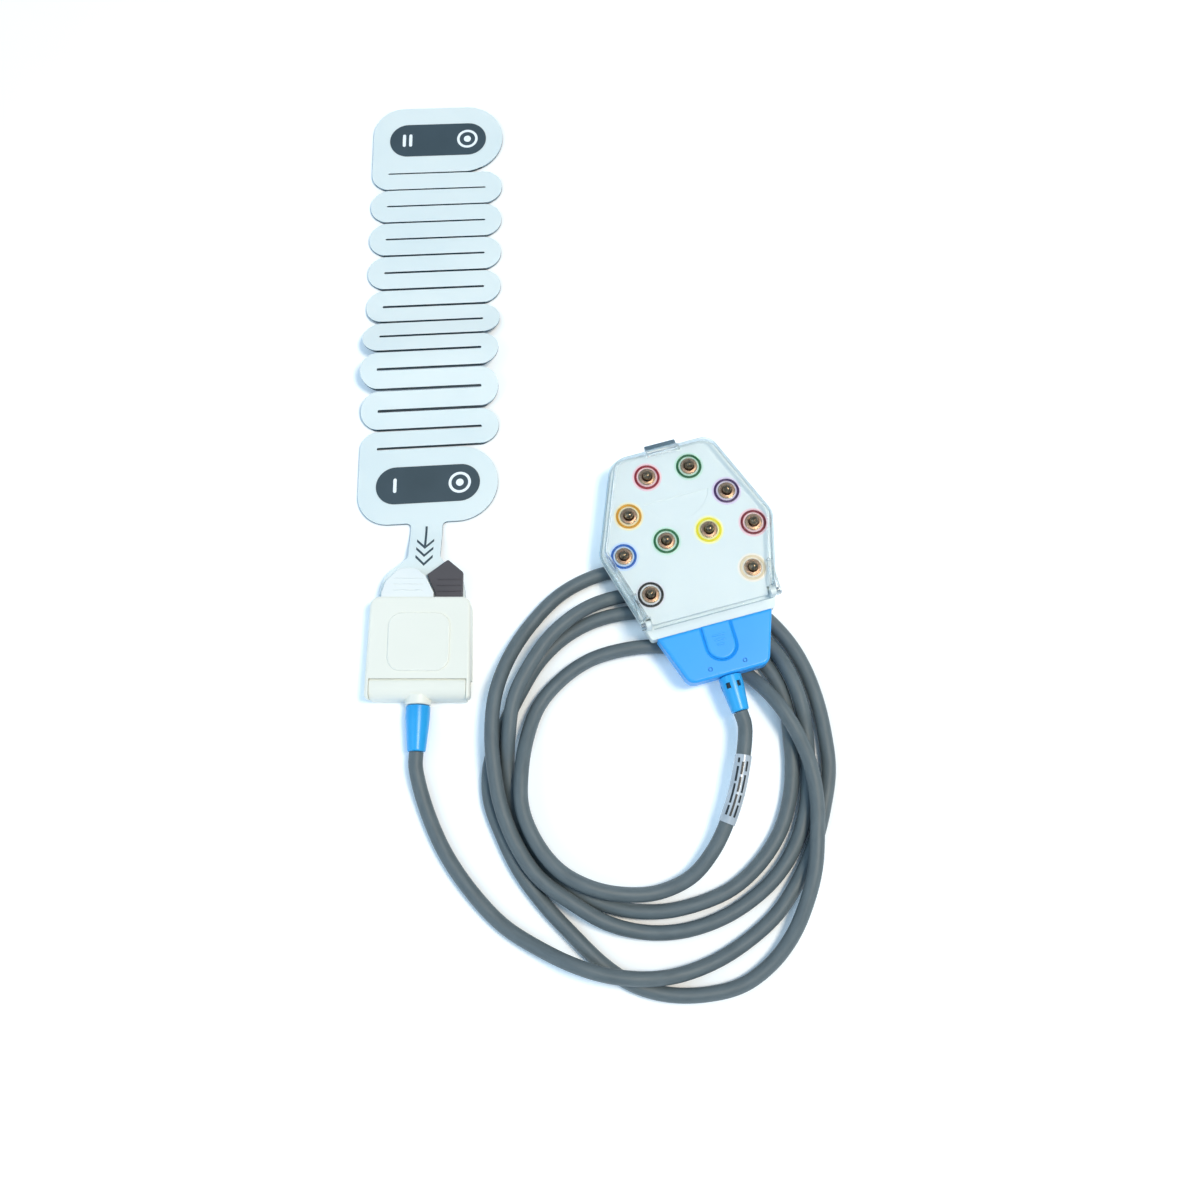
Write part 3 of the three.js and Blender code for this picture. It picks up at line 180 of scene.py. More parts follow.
def combine(piece, *others, how="DIFFERENCE"):
    """Cut the others out of a piece, or join them to it, and let only the piece remain."""
    for other in others:
        step = piece.modifiers.new("combine", "BOOLEAN")
        step.operation, step.solver, step.object = how, "EXACT", other
    whole = piece.evaluated_get(bpy.context.evaluated_depsgraph_get())
    old, piece.data = piece.data, bpy.data.meshes.new_from_object(whole)
    piece.modifiers.clear()
    bpy.data.meshes.remove(old)
    for other in others:
        bpy.data.objects.remove(other)


def turned(profile, sides):
    """Rings of a profile of (radius, height) pairs turned about the z axis."""
    radius, height = np.asarray(profile, float).T
    angle = np.arange(sides) * 2 * math.pi / sides
    x, y = radius[:, None] * np.cos(angle), radius[:, None] * np.sin(angle)
    return np.stack([x, y, np.repeat(height[:, None], sides, axis=1)], axis=-1)


def tube(path, radius, sides):
    """Circles of one radius round a path that is never upright: one axis stays level."""
    ahead = unit(np.gradient(path, axis=0))
    level = unit(np.cross(ahead, [0, 0, 1]))
    over = np.cross(level, ahead)
    angle = (np.arange(sides) * 2 * math.pi / sides)[:, None]
    return path[:, None] + radius * (level[:, None] * np.cos(angle) + over[:, None] * np.sin(angle))


# %% [markdown]
# ## Outlines with round corners
#
# The housings are plates with rounded corners and softened edges. An outline
# is a list of corners with a radius each. Moving every side inward by the
# same distance gives the smaller rings that round the upper and lower edge.

# %% Rounded outlines and soft blocks
SHARP = 0.15


def plan(corners):
    """The places and the radii of corners (x, y) or (x, y, radius)."""
    corners = np.array([(*corner, 0)[:3] for corner in corners], float)
    return corners[:, :2], corners[:, 2:]


def outline(corners, steps=10):
    """Points round the corners: an arc of each radius, tangent to its two sides. A corner without a
    radius gets a very small one."""
    place, radius = plan(corners)
    back, ahead = unit(np.roll(place, 1, axis=0) - place), unit(np.roll(place, -1, axis=0) - place)
    half = np.arccos(np.clip((back * ahead).sum(axis=1, keepdims=True), -1, 1)) / 2
    radius = np.maximum(radius, SHARP)
    centre = place + unit(back + ahead) * radius / np.sin(half)
    spoke = place + back * radius / np.tan(half) - centre
    turn = (math.pi - 2 * half) * np.sign(ahead[:, :1] * back[:, 1:] - ahead[:, 1:] * back[:, :1])
    angle = turn * np.linspace(0, 1, steps + 1)
    x = centre[:, :1] + spoke[:, :1] * np.cos(angle) - spoke[:, 1:] * np.sin(angle)
    y = centre[:, 1:] + spoke[:, :1] * np.sin(angle) + spoke[:, 1:] * np.cos(angle)
    return np.stack([x, y], axis=-1).reshape(-1, 2)


def inset(corners, distance):
    """The same corners with every side moved inward, each radius smaller by as much."""
    place, radius = plan(corners)
    arrive, leave = unit(place - np.roll(place, 1, axis=0)), unit(np.roll(place, -1, axis=0) - place)
    scale = distance / (1 + (arrive * leave).sum(axis=1))
    x = place[:, 0] - (arrive[:, 1] + leave[:, 1]) * scale
    y = place[:, 1] + (arrive[:, 0] + leave[:, 0]) * scale
    return list(zip(x, y, np.maximum(radius[:, 0] - distance, SHARP)))


def stack(levels, steps=10):
    """Rings of equal count through levels of (corners, height)."""
    rings = [(outline(corners, steps), height) for corners, height in levels]
    return np.stack([np.column_stack([ring, np.full(len(ring), height)]) for ring, height in rings])


def soft_block(corners, bottom, top, low_edge=0.0, high_edge=0.0, steps=10, edge_steps=6):
    """A block whose lower and upper edges follow a quarter circle of the given radii."""
    angle = np.linspace(0, math.pi / 2, edge_steps + 1)
    levels = [(inset(corners, low_edge * (1 - math.sin(a))), bottom + low_edge * (1 - math.cos(a)))
              for a in angle] if low_edge > 0 else [(corners, bottom)]
    levels += [(inset(corners, high_edge * (1 - math.cos(a))), top - high_edge * (1 - math.sin(a)))
               for a in angle] if high_edge > 0 else [(corners, top)]
    return stack(levels, steps)


def across(corners, left, right, edge=0.3, steps=8):
    """A block whose outline stands in the y z plane, carried from left to right, its ends eased."""
    return soft_block(corners, left, right, edge, edge, steps, 3)[..., [2, 0, 1]]


def rectangle(left, right, front, back, radius=0.0):
    """The corners of a rectangle."""
    return [(left, front, radius), (right, front, radius), (right, back, radius), (left, back, radius)]


def box(left, right, front, back, bottom, top):
    """A plain box, mostly used to cut openings."""
    flat = np.array([[left, front], [right, front], [right, back], [left, back]])
    return np.stack([np.column_stack([flat, np.full(4, height)]) for height in (bottom, top)])


def rod(y, z, radius, left, right, sides=32):
    """A plain rod along x."""
    return turned([[radius, left], [radius, right]], sides)[..., [2, 0, 1]] + [0, y, z]


# %% [markdown]
# ## The cable, first of all
#
# A trunk cable of this kind has a soft jacket over many cores, about 6 mm
# thick, and bends no tighter than four diameters. A curve object would show
# it well, but a tube of our own keeps a map along its length that the
# material can follow. It takes the very route of the solid: a centripetal
# Catmull-Rom curve, which passes through every point without a loop or an
# overshoot, and climbs over itself where the loops cross.

# %% Route of the cable
CABLE = 6.0
CLIP_AXIS, PLUG_AXIS = 5.8, 12.0
CLIP_TIP = np.array([-59.1, -155.75, CLIP_AXIS])
PLUG_TIP = by_adapter([0, -56.5, PLUG_AXIS])
# A point without a height lies on the table, a little above half the cable's thickness
LYING = 3.3
route = np.array([(*spot, LYING)[:3] for spot in [
    (-55, -177, 3.7), (-46.5, -195.5), (-35, -211.5), (-22, -224.5), (-7, -233.5, 5.6), (6.5, -239.5, 9.6),
    (18.5, -243, 10), (32.5, -244.5, 9.4), (46, -243.5, 5.2), (60, -239), (72.5, -232), (86.5, -220.5),
    (96.5, -206.5), (103.5, -192), (108, -177), (110.5, -162.5), (109.5, -147.5), (106.5, -132),
    (101.5, -118), (95, -107), (83.5, -95), (66.5, -84.5), (47.5, -78), (31, -77), (16.5, -79), (0, -87.5),
    (-13.5, -102, 4), (-22.5, -118, 7.2), (-27, -133, 9.4), (-28, -149, 10), (-26.5, -164, 9.8),
    (-23.5, -178, 9.6), (-17.5, -192.5, 8.8), (-8.5, -205.5, 8.1), (5, -215.5, 7.6), (19.5, -223.5, 5.8),
    (34.5, -227), (49, -226.5), (64, -222), (77, -214.5), (88, -204.5), (96, -192), (100.5, -178),
    (102, -163.5), (102, -149), (99.5, -134.5, 6.8), (95, -122, 6.8), (88.5, -111, 4.4), (77, -100.5),
    (60, -92), (42.5, -87.5), (24, -89, 3.6), (9.5, -95.5, 7.5), (-3.5, -106.5, 9.4), (-12.5, -119.5, 10),
    (-19, -133.5, 9.8), (-21, -147.5, 8.9), (-21.5, -161, 5), (-19, -175), (-13, -189.5), (-3, -203),
    (10.5, -213), (25, -218), (40.5, -219), (55.5, -216), (69.5, -210), (81, -200), (89.5, -187.5),
    (94, -174), (95.5, -160.5), (95, -148), (94, -136.5), (90.5, -125.5), (83, -115), (72, -107),
    (57.5, -100), (42.5, -96), (28, -96), (14, -99.5), (1.5, -106.5), (-9, -117), (-17.5, -131.5),
    (-24.5, -147), (-29, -161), (-28.5, -175), (-23, -189.5), (-16, -203), (-6.5, -215.5), (5.5, -228),
    (18.5, -240), (30, -247), (43, -250.5), (58, -250.5), (72.5, -247), (84.5, -238.5, 4),
    (93, -227.5, 5.8), (98.5, -215, 8.4), (102, -202.5, 10), (103.5, -189, 10), (104, -175.5, 9.7),
    (102, -161.5, 10.1), (97.5, -149, 9.6), (91.5, -138.5, 9.9), (85, -130, 7.9), (77, -122, 4),
    (66.5, -116.5), (54.5, -112.5), (40, -110.5), (26, -112), (12, -116.5), (0, -125), (-9, -136, 3.6),
    (-13.5, -149, 5.8), (-15.5, -164, 9.4), (-15, -178.5, 10), (-9, -192.5, 10), (0.5, -203.5, 10),
    (13, -210, 10), (26.5, -212.5, 8), (40, -211.5, 6), (53, -205.5, 6.6), (62, -195, 8.5),
    (68.5, -181.5, 10.4), (72.8, -167, 11.7),
]])


# %% Curve through the route
def smooth_path(points, per_span=16):
    """A centripetal Catmull-Rom curve: a cubic on each span, whose end slopes weigh the
    neighbouring spans by the square root of their lengths."""
    ends = [2 * points[0] - points[1], 2 * points[-1] - points[-2]]
    p = np.vstack([ends[0], points, ends[1]])
    gap = np.sqrt(np.linalg.norm(np.diff(p, axis=0), axis=1))[:, None]
    before, here, after = gap[:-2], gap[1:-1], gap[2:]
    p0, p1, p2, p3 = p[:-3], p[1:-2], p[2:-1], p[3:]
    slope1 = ((p1 - p0) / before - (p2 - p0) / (before + here) + (p2 - p1) / here) * here
    slope2 = ((p2 - p1) / here - (p3 - p1) / (here + after) + (p3 - p2) / after) * here
    t = np.arange(per_span)[None, :, None] / per_span
    a, b, s, e = (v[:, None] for v in (p1, p2, slope1, slope2))
    curve = a + s * t + (3 * (b - a) - 2 * s - e) * t**2 + (2 * (a - b) + s + e) * t**3
    return np.vstack([curve.reshape(-1, 3), points[-1:]])


def even_steps(path, step):
    """The same path with its points a fixed distance apart, and that distance along it."""
    run = np.concatenate([[0], np.cumsum(np.linalg.norm(np.diff(path, axis=0), axis=1))])
    along = np.linspace(0, run[-1], int(round(run[-1] / step)) + 1)
    return np.stack([np.interp(along, run, axis) for axis in path.T], axis=1), along


outward = TURNED @ [0, -1.0, 0]
cable_points = np.vstack([CLIP_TIP, CLIP_TIP - [0, CABLE, 0], route, PLUG_TIP + CABLE * outward, PLUG_TIP])
cable_path, cable_run = even_steps(smooth_path(cable_points), 2.0)
print("cable length in mm:", round(cable_run[-1], 1))

# %% [markdown]
# ## Materials
#
# A node tree is written in one call per node: its kind, its settings and the
# values or links of its inputs. Colours are given as they are read off a
# screen, so one function turns them into the linear values that light uses.

# %% Colour and node helpers
def linear(code):
    """An sRGB hex colour as linear red, green, blue and full alpha."""
    srgb = np.array([int(code[k:k + 2], 16) for k in (0, 2, 4)]) / 255
    lit = np.where(srgb <= 0.04045, srgb / 12.92, ((srgb + 0.055) / 1.055) ** 2.4)
    return (*lit.tolist(), 1.0)


def feed(node, **inputs):
    """Give each named input of a node a value or a link. A node stands for its first output."""
    for key, value in inputs.items():
        socket = node.inputs[key.replace("_", " ")]
        if isinstance(value, bpy.types.Node):
            value = value.outputs[0]
        if isinstance(value, bpy.types.NodeSocket):
            node.id_data.links.new(value, socket)
        else:
            socket.default_value = value
    return node


def add(tree, kind, settings=None, stops=(), **inputs):
    """Add a node, set its properties and its ramp's stops of (position, colour), and feed its inputs."""
    made = tree.nodes.new(kind)
    for key, value in (settings or {}).items():
        setattr(made, key, value)
    for k, (position, code) in enumerate(stops):
        made.color_ramp.elements[k].position, made.color_ramp.elements[k].color = position, linear(code)
    return feed(made, **inputs)


def blank(name):
    """A new material, its node tree, its shader and the place on the object for its patterns."""
    material = bpy.data.materials.new(name)
    material.use_nodes = True
    tree = material.node_tree
    return material, tree, tree.nodes["Principled BSDF"], add(tree, "ShaderNodeTexCoord").outputs["Object"]


# %% [markdown]
# Moulded plastics, foam and rubber differ in a few plain facts: two close
# tints that the eye reads as one colour, how large the clouds of that tint
# are, the grain of the mould or the cells, and how glossy the skin is. One
# recipe with those facts serves them all, and each material names its own.

# %% The recipe for matt and satin skins
def satin(name, light, dark, rough, cloud, grain, relief, ior=1.5, spread=0.06, **more):
    """A skin of two tints in soft clouds, with a fine grain in its relief and its gloss.
    cloud and grain are sizes in millimetres and relief is the grain's depth in millimetres."""
    material, tree, shader, place = blank(name)
    clouds = add(tree, "ShaderNodeTexNoise", Vector=place, Scale=1 / (cloud * MM), Detail=3.0)
    tint = add(tree, "ShaderNodeValToRGB", stops=((0.3, dark), (0.6, light)), Fac=clouds)
    grains = add(tree, "ShaderNodeTexNoise", Vector=place, Scale=1 / (grain * MM), Detail=2.0)
    gloss = add(tree, "ShaderNodeMapRange", Value=grains, To_Min=rough - spread, To_Max=rough + spread)
    bump = add(tree, "ShaderNodeBump", Height=grains, Strength=0.6, Distance=relief * MM)
    feed(shader, Base_Color=tint, Roughness=gloss, Normal=bump, IOR=ior, **more)
    return material


# Closed-cell polyethylene foam under a printed film: matt, cool and even; a little light seeps in
foam = satin("film faced polyethylene foam", "e4edec", "dbe7e8", 0.55, 60, 0.7, 0.012,
             Subsurface_Weight=0.1, Subsurface_Radius=(0.002, 0.0025, 0.003), Subsurface_Scale=1.0)
# The foam's cut edges are painted grey-blue, and its slit walls darker still: painted shade for the sides in
# shadow and for the deep narrow slits
foam_edge_shade = satin("die cut foam edge, painted shade", "93a8b3", "748b97", 0.9, 4, 0.4, 0.05)
foam_slit_shade = satin("die cut foam slit, painted shade", "3f545f", "2c404b", 0.9, 4, 0.4, 0.05)
# Polyester film painted dark all over: painted shade that makes the slits look black
slit_shade_film = satin("polyester film, painted dark for slit shade", "333e45", "283238", 0.5, 5, 0.4, 0.01)
# Hydrogel: clear, wet-looking and a little blue
gel = satin("hydrogel", "d8e6ea", "cfdfe5", 0.2, 6, 2.0, 0.03, ior=1.38)
# Screen ink on film: thick, even and dull
ink = satin("screen printed ink", "3b4a52", "35444b", 0.5, 20, 0.3, 0.008)
white_ink = satin("white screen ink", "f4f8fa", "eef3f6", 0.5, 20, 0.3, 0.008)
label_ink = satin("thermal transfer print", "272d31", "1f2528", 0.4, 8, 0.3, 0.004)
# Injection-moulded ABS from a finely sparked mould: satin, very slightly warm
abs_white = satin("moulded white ABS", "efeee3", "e9e9de", 0.42, 60, 0.45, 0.01)
abs_adapter = satin("moulded white ABS, adapter", "e3ebe9", "dbe4e2", 0.38, 70, 0.45, 0.01)
abs_tab = satin("moulded white nylon", "ebeeec", "e3e9e8", 0.34, 30, 0.45, 0.01)
abs_dark = satin("moulded dark grey ABS", "504b4e", "474346", 0.5, 20, 0.5, 0.03)
# Blue PBT of the plug and the sleeves over moulded elastomer: satin with soft highlights
blue = satin("moulded blue plastic", "2ba3f1", "229cec", 0.36, 40, 0.5, 0.012)
sleeve_blue = satin("moulded blue elastomer", "22a5e9", "199ae1", 0.33, 20, 0.5, 0.015)
# What lies inside: silicone that presses, silicone that conducts, and the boards and their parts
silicone = satin("moulded silicone", "bfc5c8", "b0b6b9", 0.6, 6, 0.4, 0.02)
carbon_rubber = satin("carbon filled silicone", "2f3234", "232628", 0.6, 4, 0.3, 0.02)
tongue_white = satin("moulded LCP", "ece9dd", "e0ddd0", 0.45, 6, 0.3, 0.01)
# Black epoxy of the chips, also put behind the plug sleeve's windows as painted shade
black_epoxy_and_window_shade = satin("epoxy moulded package, also painted window shade", "282b2e", "1c1f22", 0.5, 3, 0.25, 0.02)
solder_mask = satin("green solder mask", "2f7349", "245c3a", 0.35, 3, 1.2, 0.02)
# A silvery label under a clear laminate, so it is smoother than bare print
label_film = satin("laminated silver label", "bcc5cd", "a7b2bc", 0.22, 8, 1.5, 0.01, spread=0.04)
# Turned stainless steel: bright with fine turning marks in its gloss
steel = satin("turned stainless steel", "b9bdc0", "a3a7aa", 0.3, 2, 0.2, 0.01, Metallic=1.0)
# Gold flash on brass, handled: warm, mottled where the fingers and snaps rub it
gold = satin("gold flashed brass", "d8bc98", "b08d6b", 0.24, 1.2, 0.3, 0.03, spread=0.08, Metallic=1.0)
gold_worn = satin("gold worn by snaps", "bf9d84", "8b6953", 0.42, 0.7, 0.25, 0.05, spread=0.1, Metallic=1.0)
# The balls are polished by use, and their dark between the highlights is a painted dark reflection
gold_dark_reflection = satin("gold flash, painted dark reflection", "8a7862", "40362c", 0.22, 1.5, 0.5, 0.02, spread=0.04, Metallic=1.0)

# %% [markdown]
# The cable's jacket is extruded, so its faint streaks run along it. Its
# material reads the map that the tube carries: one axis counts tenths of a
# metre along the cable, the other goes once round it.

# %% Cable jacket
jacket, tree, shader, place = blank("extruded TPU jacket")
along_map = add(tree, "ShaderNodeUVMap", {"uv_map": "run"})
stretched = add(tree, "ShaderNodeMapping", Vector=along_map, Scale=(12.0, 9.0, 1.0))
streaks = add(tree, "ShaderNodeTexNoise", Vector=stretched, Scale=1.0, Detail=4.0)
grey = add(tree, "ShaderNodeValToRGB", stops=((0.3, "566165"), (0.7, "616c70")), Fac=streaks)
fine = add(tree, "ShaderNodeTexNoise", Vector=place, Scale=1 / (0.4 * MM))
dull = add(tree, "ShaderNodeMapRange", Value=fine, To_Min=0.48, To_Max=0.6)
relief = add(tree, "ShaderNodeBump", Height=fine, Strength=0.5, Distance=0.015 * MM)
feed(shader, Base_Color=grey, Roughness=dull, Normal=relief)

# %% [markdown]
# ## Seating a piece
#
# Every finished piece is smoothed, painted, tied to the moving body of the
# solid that it stands for, and told which finish it takes.

# %% Seat a piece
def read(items, name, width=1, kind=float):
    """One value, or a row of width values, for every item of a mesh."""
    values = np.empty(width * len(items), kind)
    items.foreach_get(name, values)
    return values.reshape(-1, width) if width > 1 else values


def volume(mesh):
    """Cubic millimetres inside a closed mesh: a sixth of the sum of its triangles' triple products."""
    mesh.calc_loop_triangles()
    corners = read(mesh.loop_triangles, "vertices", 3, np.int32)
    a, b, c = read(mesh.vertices, "co", 3)[corners].transpose(1, 0, 2) / MM
    return float((a * np.cross(b, c)).sum() / 6)


def seat(piece, material, *stands_for, like=None, angle=40, bevel=0.0):
    """Smooth and paint a piece and let it ride with the solid that it stands for or goes with. Faces
    that meet at more than the angle keep a crisp edge, which a bevel eases. Weighted normals keep flat
    faces flat in the light."""
    owner = like or stands_for[0]
    share = volume(piece.data) / sum(volume(solids[node].data) for node in stands_for or [owner])
    print(piece.name, "has", len(piece.data.polygons), "faces and", round(share, 2), "of the solid's volume")
    piece.data.materials.clear()
    for one in material if isinstance(material, tuple) else (material,):
        piece.data.materials.append(one)
    piece.data.shade_smooth()
    piece.data.set_sharp_from_angle(angle=math.radians(angle))
    if bevel:
        ease = piece.modifiers.new("ease", "BEVEL")
        ease.width, ease.segments = bevel * MM, 2
        ease.limit_method, ease.angle_limit = "ANGLE", math.radians(angle)
    piece.modifiers.new("weigh", "WEIGHTED_NORMAL").keep_sharp = True
    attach(piece, solids[owner]["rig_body"])
    if stands_for:
        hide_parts(*stands_for)


def dressed(owner, material):
    """A merged copy of a solid with its flat faces made whole and its sharp edges eased."""
    mesh = solids[owner].data.copy()
    work = bmesh.new()
    work.from_mesh(mesh)
    bmesh.ops.remove_doubles(work, verts=work.verts, dist=2e-6)
    bmesh.ops.dissolve_limit(work, angle_limit=math.radians(0.5), verts=work.verts, edges=work.edges)
    work.to_mesh(mesh)
    work.free()
    seat(show(owner + "_skin", mesh), material, owner, bevel=0.08)


def repaint(piece, choose, index=1):
    """Give one of a piece's further materials to the faces that choose picks by their centres, in
    millimetres, and their normals."""
    faces = piece.data.polygons
    chosen = choose(read(faces, "center", 3) / MM, read(faces, "normal", 3))
    before = read(faces, "material_index", kind=np.int32)
    faces.foreach_set("material_index", np.where(chosen, index, before).astype(np.int32))


# %% Cable and label
SIDES = 24
cable = make("cable", skin(tube(cable_path, CABLE / 2, SIDES)))
uv = cable.data.uv_layers.new(name="run")
corner_points = read(cable.data.loops, "vertex_index", kind=int)
along = cable_run[corner_points // SIDES] * MM * 10
uv.data.foreach_set("uv", np.column_stack([along, corner_points % SIDES / SIDES]).ravel())
seat(cable, jacket, "trunk_cable", angle=60)

LABEL_START, LABEL_LENGTH, PROUD, STEP, LABEL_SIDES = 19.0, 27.0, 0.45, 0.5, 48
from_end = cable_run[-1] - cable_run
label_at = (from_end >= LABEL_START - 1) & (from_end <= LABEL_START + LABEL_LENGTH + 1)
label_path, _ = even_steps(cable_path[label_at], STEP)
outer, inner, over, under = (tube(label_path, CABLE / 2 + PROUD + lift, LABEL_SIDES)
                             for lift in (0, -0.3, 0.05, -0.05))
label = make("cable_wrap", skin(np.concatenate([outer, inner[::-1]]), ends="loop"))
seat(label, label_film, "cable_label")
bars = []
# Three rows of plain dashes: the row's place among the label's sides, and each dash's length
for place, lengths in ((8, (5, 3, 7, 4)), (12, (9, 6, 5)), (16, (4, 8, 6, 2))):
    start, gap = 3.0, 1.2
    for length in lengths:
        span = slice(int(start / STEP), int((start + length) / STEP) + 1)
        upper, lower = over[span, place - 1:place + 2], under[span, place + 1:place - 2:-1]
        bars.append(skin(np.concatenate([upper, lower], axis=1)))
        start += length + gap
label_bars = make("cable_wrap_bars", *bars)
seat(label_bars, label_ink, like="cable_label")

# %% [markdown]
# ## Sheets cut to an outline
#
# Foam, film and printed marks are sheets cut to an outline. Their rim is a
# small profile carried along that outline. Their two faces need points
# inside it too, because the sheet is bent afterwards, so a regular grid of
# points is kept where it falls inside, and a triangulation joins it to the
# rim.

# %% Cut sheets
def arc(x, y, radius, start, stop, steps=20):
    """Points on a circle from one angle to another, in degrees."""
    angle = np.radians(np.linspace(start, stop, steps + 1))
    return np.column_stack([x + radius * np.cos(angle), y + radius * np.sin(angle)])


def divide(loop, longest):
    """The same closed outline with points added, so that no step is longer than longest."""
    loop = loop[np.linalg.norm(np.roll(loop, -1, axis=0) - loop, axis=1) > 1e-6]
    step = np.roll(loop, -1, axis=0) - loop
    parts = np.maximum(np.ceil(np.linalg.norm(step, axis=1) / longest), 1).astype(int)
    owner = np.repeat(np.arange(len(loop)), parts)
    share = (np.arange(len(owner)) - np.repeat(np.cumsum(parts) - parts, parts)) / parts[owner]
    return loop[owner] + step[owner] * share[:, None]


def inside(points, loop):
    """True where an odd number of the outline's sides lie straight to a point's right."""
    x, y = points[:, :1], points[:, 1:]
    (ax, ay), (bx, by) = loop.T, np.roll(loop, -1, axis=0).T
    spans = (ay > y) != (by > y)
    at = ax + (y - ay) / np.where(by == ay, 1, by - ay) * (bx - ax)
    return (spans & (x < at)).sum(axis=1) % 2 == 1


def cut_sheet(loop, bottom, top, rim, spacing=2.0):
    """A sheet from bottom to top whose rim is rounded by quarter circles of radius rim, filled
    with points of a grid of the given spacing wherever they fall well inside the outline."""
    loop = divide(loop, spacing)
    ahead = unit(np.roll(loop, -1, axis=0) - np.roll(loop, 1, axis=0))
    outward = np.column_stack([ahead[:, 1], -ahead[:, 0]])
    angle = np.linspace(0, math.pi / 2, 4)
    inward = rim * np.concatenate([1 - np.sin(angle), 1 - np.cos(angle)])
    height = np.concatenate([bottom + rim * (1 - np.cos(angle)), top - rim * (1 - np.sin(angle))])
    flat = loop - inward[:, None, None] * outward
    rings = np.concatenate([flat, np.broadcast_to(height[:, None, None], flat.shape[:2] + (1,))], axis=2)
    low, high = loop.min(axis=0), loop.max(axis=0)
    across_x, across_y = (np.arange(a + spacing / 2, b, spacing) for a, b in zip(low, high))
    grid = np.stack(np.meshgrid(across_x, across_y), axis=-1).reshape(-1, 2)
    grid = grid[inside(grid, loop)]
    if len(grid):
        gap = np.linalg.norm(grid[:, None] - loop[None], axis=2).min(axis=1)
        grid = grid[gap > 0.55 * spacing]
    count, more, last = len(loop), len(grid), len(inward) - 1
    spots = [Vector(spot) for spot in np.vstack([flat[-1], grid]).tolist()]
    sides = [(k, (k + 1) % count) for k in range(count)]
    _, _, fill, origin, _, _ = geometry.delaunay_2d_cdt(spots, sides, [list(range(count))], 1, 1e-7)
    fill = np.array([[origin[corner][0] for corner in face] for face in fill])
    upper = fill + last * count
    lower = np.where(fill < count, fill, fill + last * count + more)[:, ::-1]
    points, faces = skin(rings, ends="open")
    layers = [np.column_stack([grid, np.full(more, height)]) for height in (top, bottom)]
    return np.vstack([points] + layers), faces + upper.tolist() + lower.tolist()


# %% [markdown]
# ## The electrode patch
#
# The patch is die cut from foam a millimetre thick: two round-ended pads
# joined by sixteen lanes, with slits that open to the left and to the right
# in turn. A lane and its turn are one ribbon 7.6 mm wide, so each lobe is a
# half circle round the end of a slit. Below the lower pad a neck leads down
# and up a short ramp to the broad tail that the clip holds. The strip lies
# in a slight hump, and leans a little to the left.

# %% Outline of the strip
WIDTH, PAD, PITCH, TURNS, SLIT = 61.5, 35.5, 17.4, 8, 1.1
LENGTH = 2 * PAD + TURNS * PITCH
HALF, LOBE = WIDTH / 2, (PITCH - SLIT) / 2
SLIT_TURN = HALF - LOBE
PAD_ROUND = (PAD - SLIT / 2) / 2
NECK_SIDE, FILLET, TAIL_SIDE, TAIL_END = 6.9, 2.0, 18.3, -62.9
BIG, SMALL, TIP = 14, 8, 2
rung = PAD + PITCH * np.arange(TURNS + 1)


def flare(mirror):
    """The cubic curve by which the neck widens to the tail, from its narrow to its wide end."""
    t = np.linspace(0, 1, 25)[:, None]
    a, b, c, d = np.array([[NECK_SIDE, -15.4], [NECK_SIDE, -21.55], [17.57, -19.83], [TAIL_SIDE, -33.85]])
    return ((1 - t)**3 * a + 3 * (1 - t)**2 * t * b + 3 * (1 - t) * t**2 * c + t**3 * d) * [mirror, 1]


turns = [arc(HALF - PAD_ROUND, PAD_ROUND, PAD_ROUND, -90, 90, 40)]
for y in rung:
    turns.append(arc(-SLIT_TURN, y, SLIT / 2, 270, 90, 8))
    if y < rung[-1]:
        turns.append(arc(SLIT_TURN, y + PITCH / 2, LOBE, -90, 90, 24))
turns += [arc(HALF - PAD_ROUND, LENGTH - PAD_ROUND, PAD_ROUND, -90, 90, 40),
          arc(BIG - HALF, LENGTH - BIG, BIG, 90, 180),
          arc(SMALL - HALF, rung[-2] + PITCH / 2 + SLIT / 2 + SMALL, SMALL, 180, 270)]
for y in rung[-2::-1]:
    turns.append(arc(SLIT_TURN, y + PITCH / 2, SLIT / 2, 90, -90, 8))
    if y > rung[0]:
        turns.append(arc(-SLIT_TURN, y, LOBE, 90, 270, 24))
turns += [arc(SMALL - HALF, rung[0] + LOBE - SMALL, SMALL, 90, 180), arc(BIG - HALF, BIG, BIG, 180, 270),
          arc(-NECK_SIDE - FILLET, -FILLET, FILLET, 90, 0, 8), flare(-1),
          arc(TIP - TAIL_SIDE, TAIL_END + TIP, TIP, 180, 270, 8),
          arc(TAIL_SIDE - TIP, TAIL_END + TIP, TIP, 270, 360, 8), flare(1)[::-1],
          arc(NECK_SIDE + FILLET, -FILLET, FILLET, 180, 90, 8)]
strip_outline = np.vstack(turns)
print("points round the strip:", len(strip_outline), "length in mm:", LENGTH)


# %% The way the patch lies
def drape(points):
    """Points bent over the hump, a whole cosine wave 8 mm high and 62 mm long, and up the ramp, a
    smooth step 4.3 mm high. They lean to the left by 2 mm over the strip's length, and the lanes slope
    away from the clip towards the right: by six hundredths of x at the lower pad, less further up, and
    not at all in the clip."""
    x, y, z = points.T
    phase = np.clip((y - 75) / 62, -0.5, 0.5)
    climb = np.clip((-y - 2.0) / 17.0, 0, 1)
    hump = 4 * (1 + np.cos(2 * math.pi * phase))
    ramp = 4.3 * climb**2 * (3 - 2 * climb)
    rise = (0.06 - 0.025 * y / LENGTH) * np.clip(1 + y / 19, 0, 1)
    return np.column_stack([x - 2 * np.maximum(y, 0) / LENGTH, y + rise * x, z + hump + ramp])


def laid(part):
    """A flat part of the patch, bent and carried to the table."""
    points, faces = part
    return by_patch(drape(points)), faces


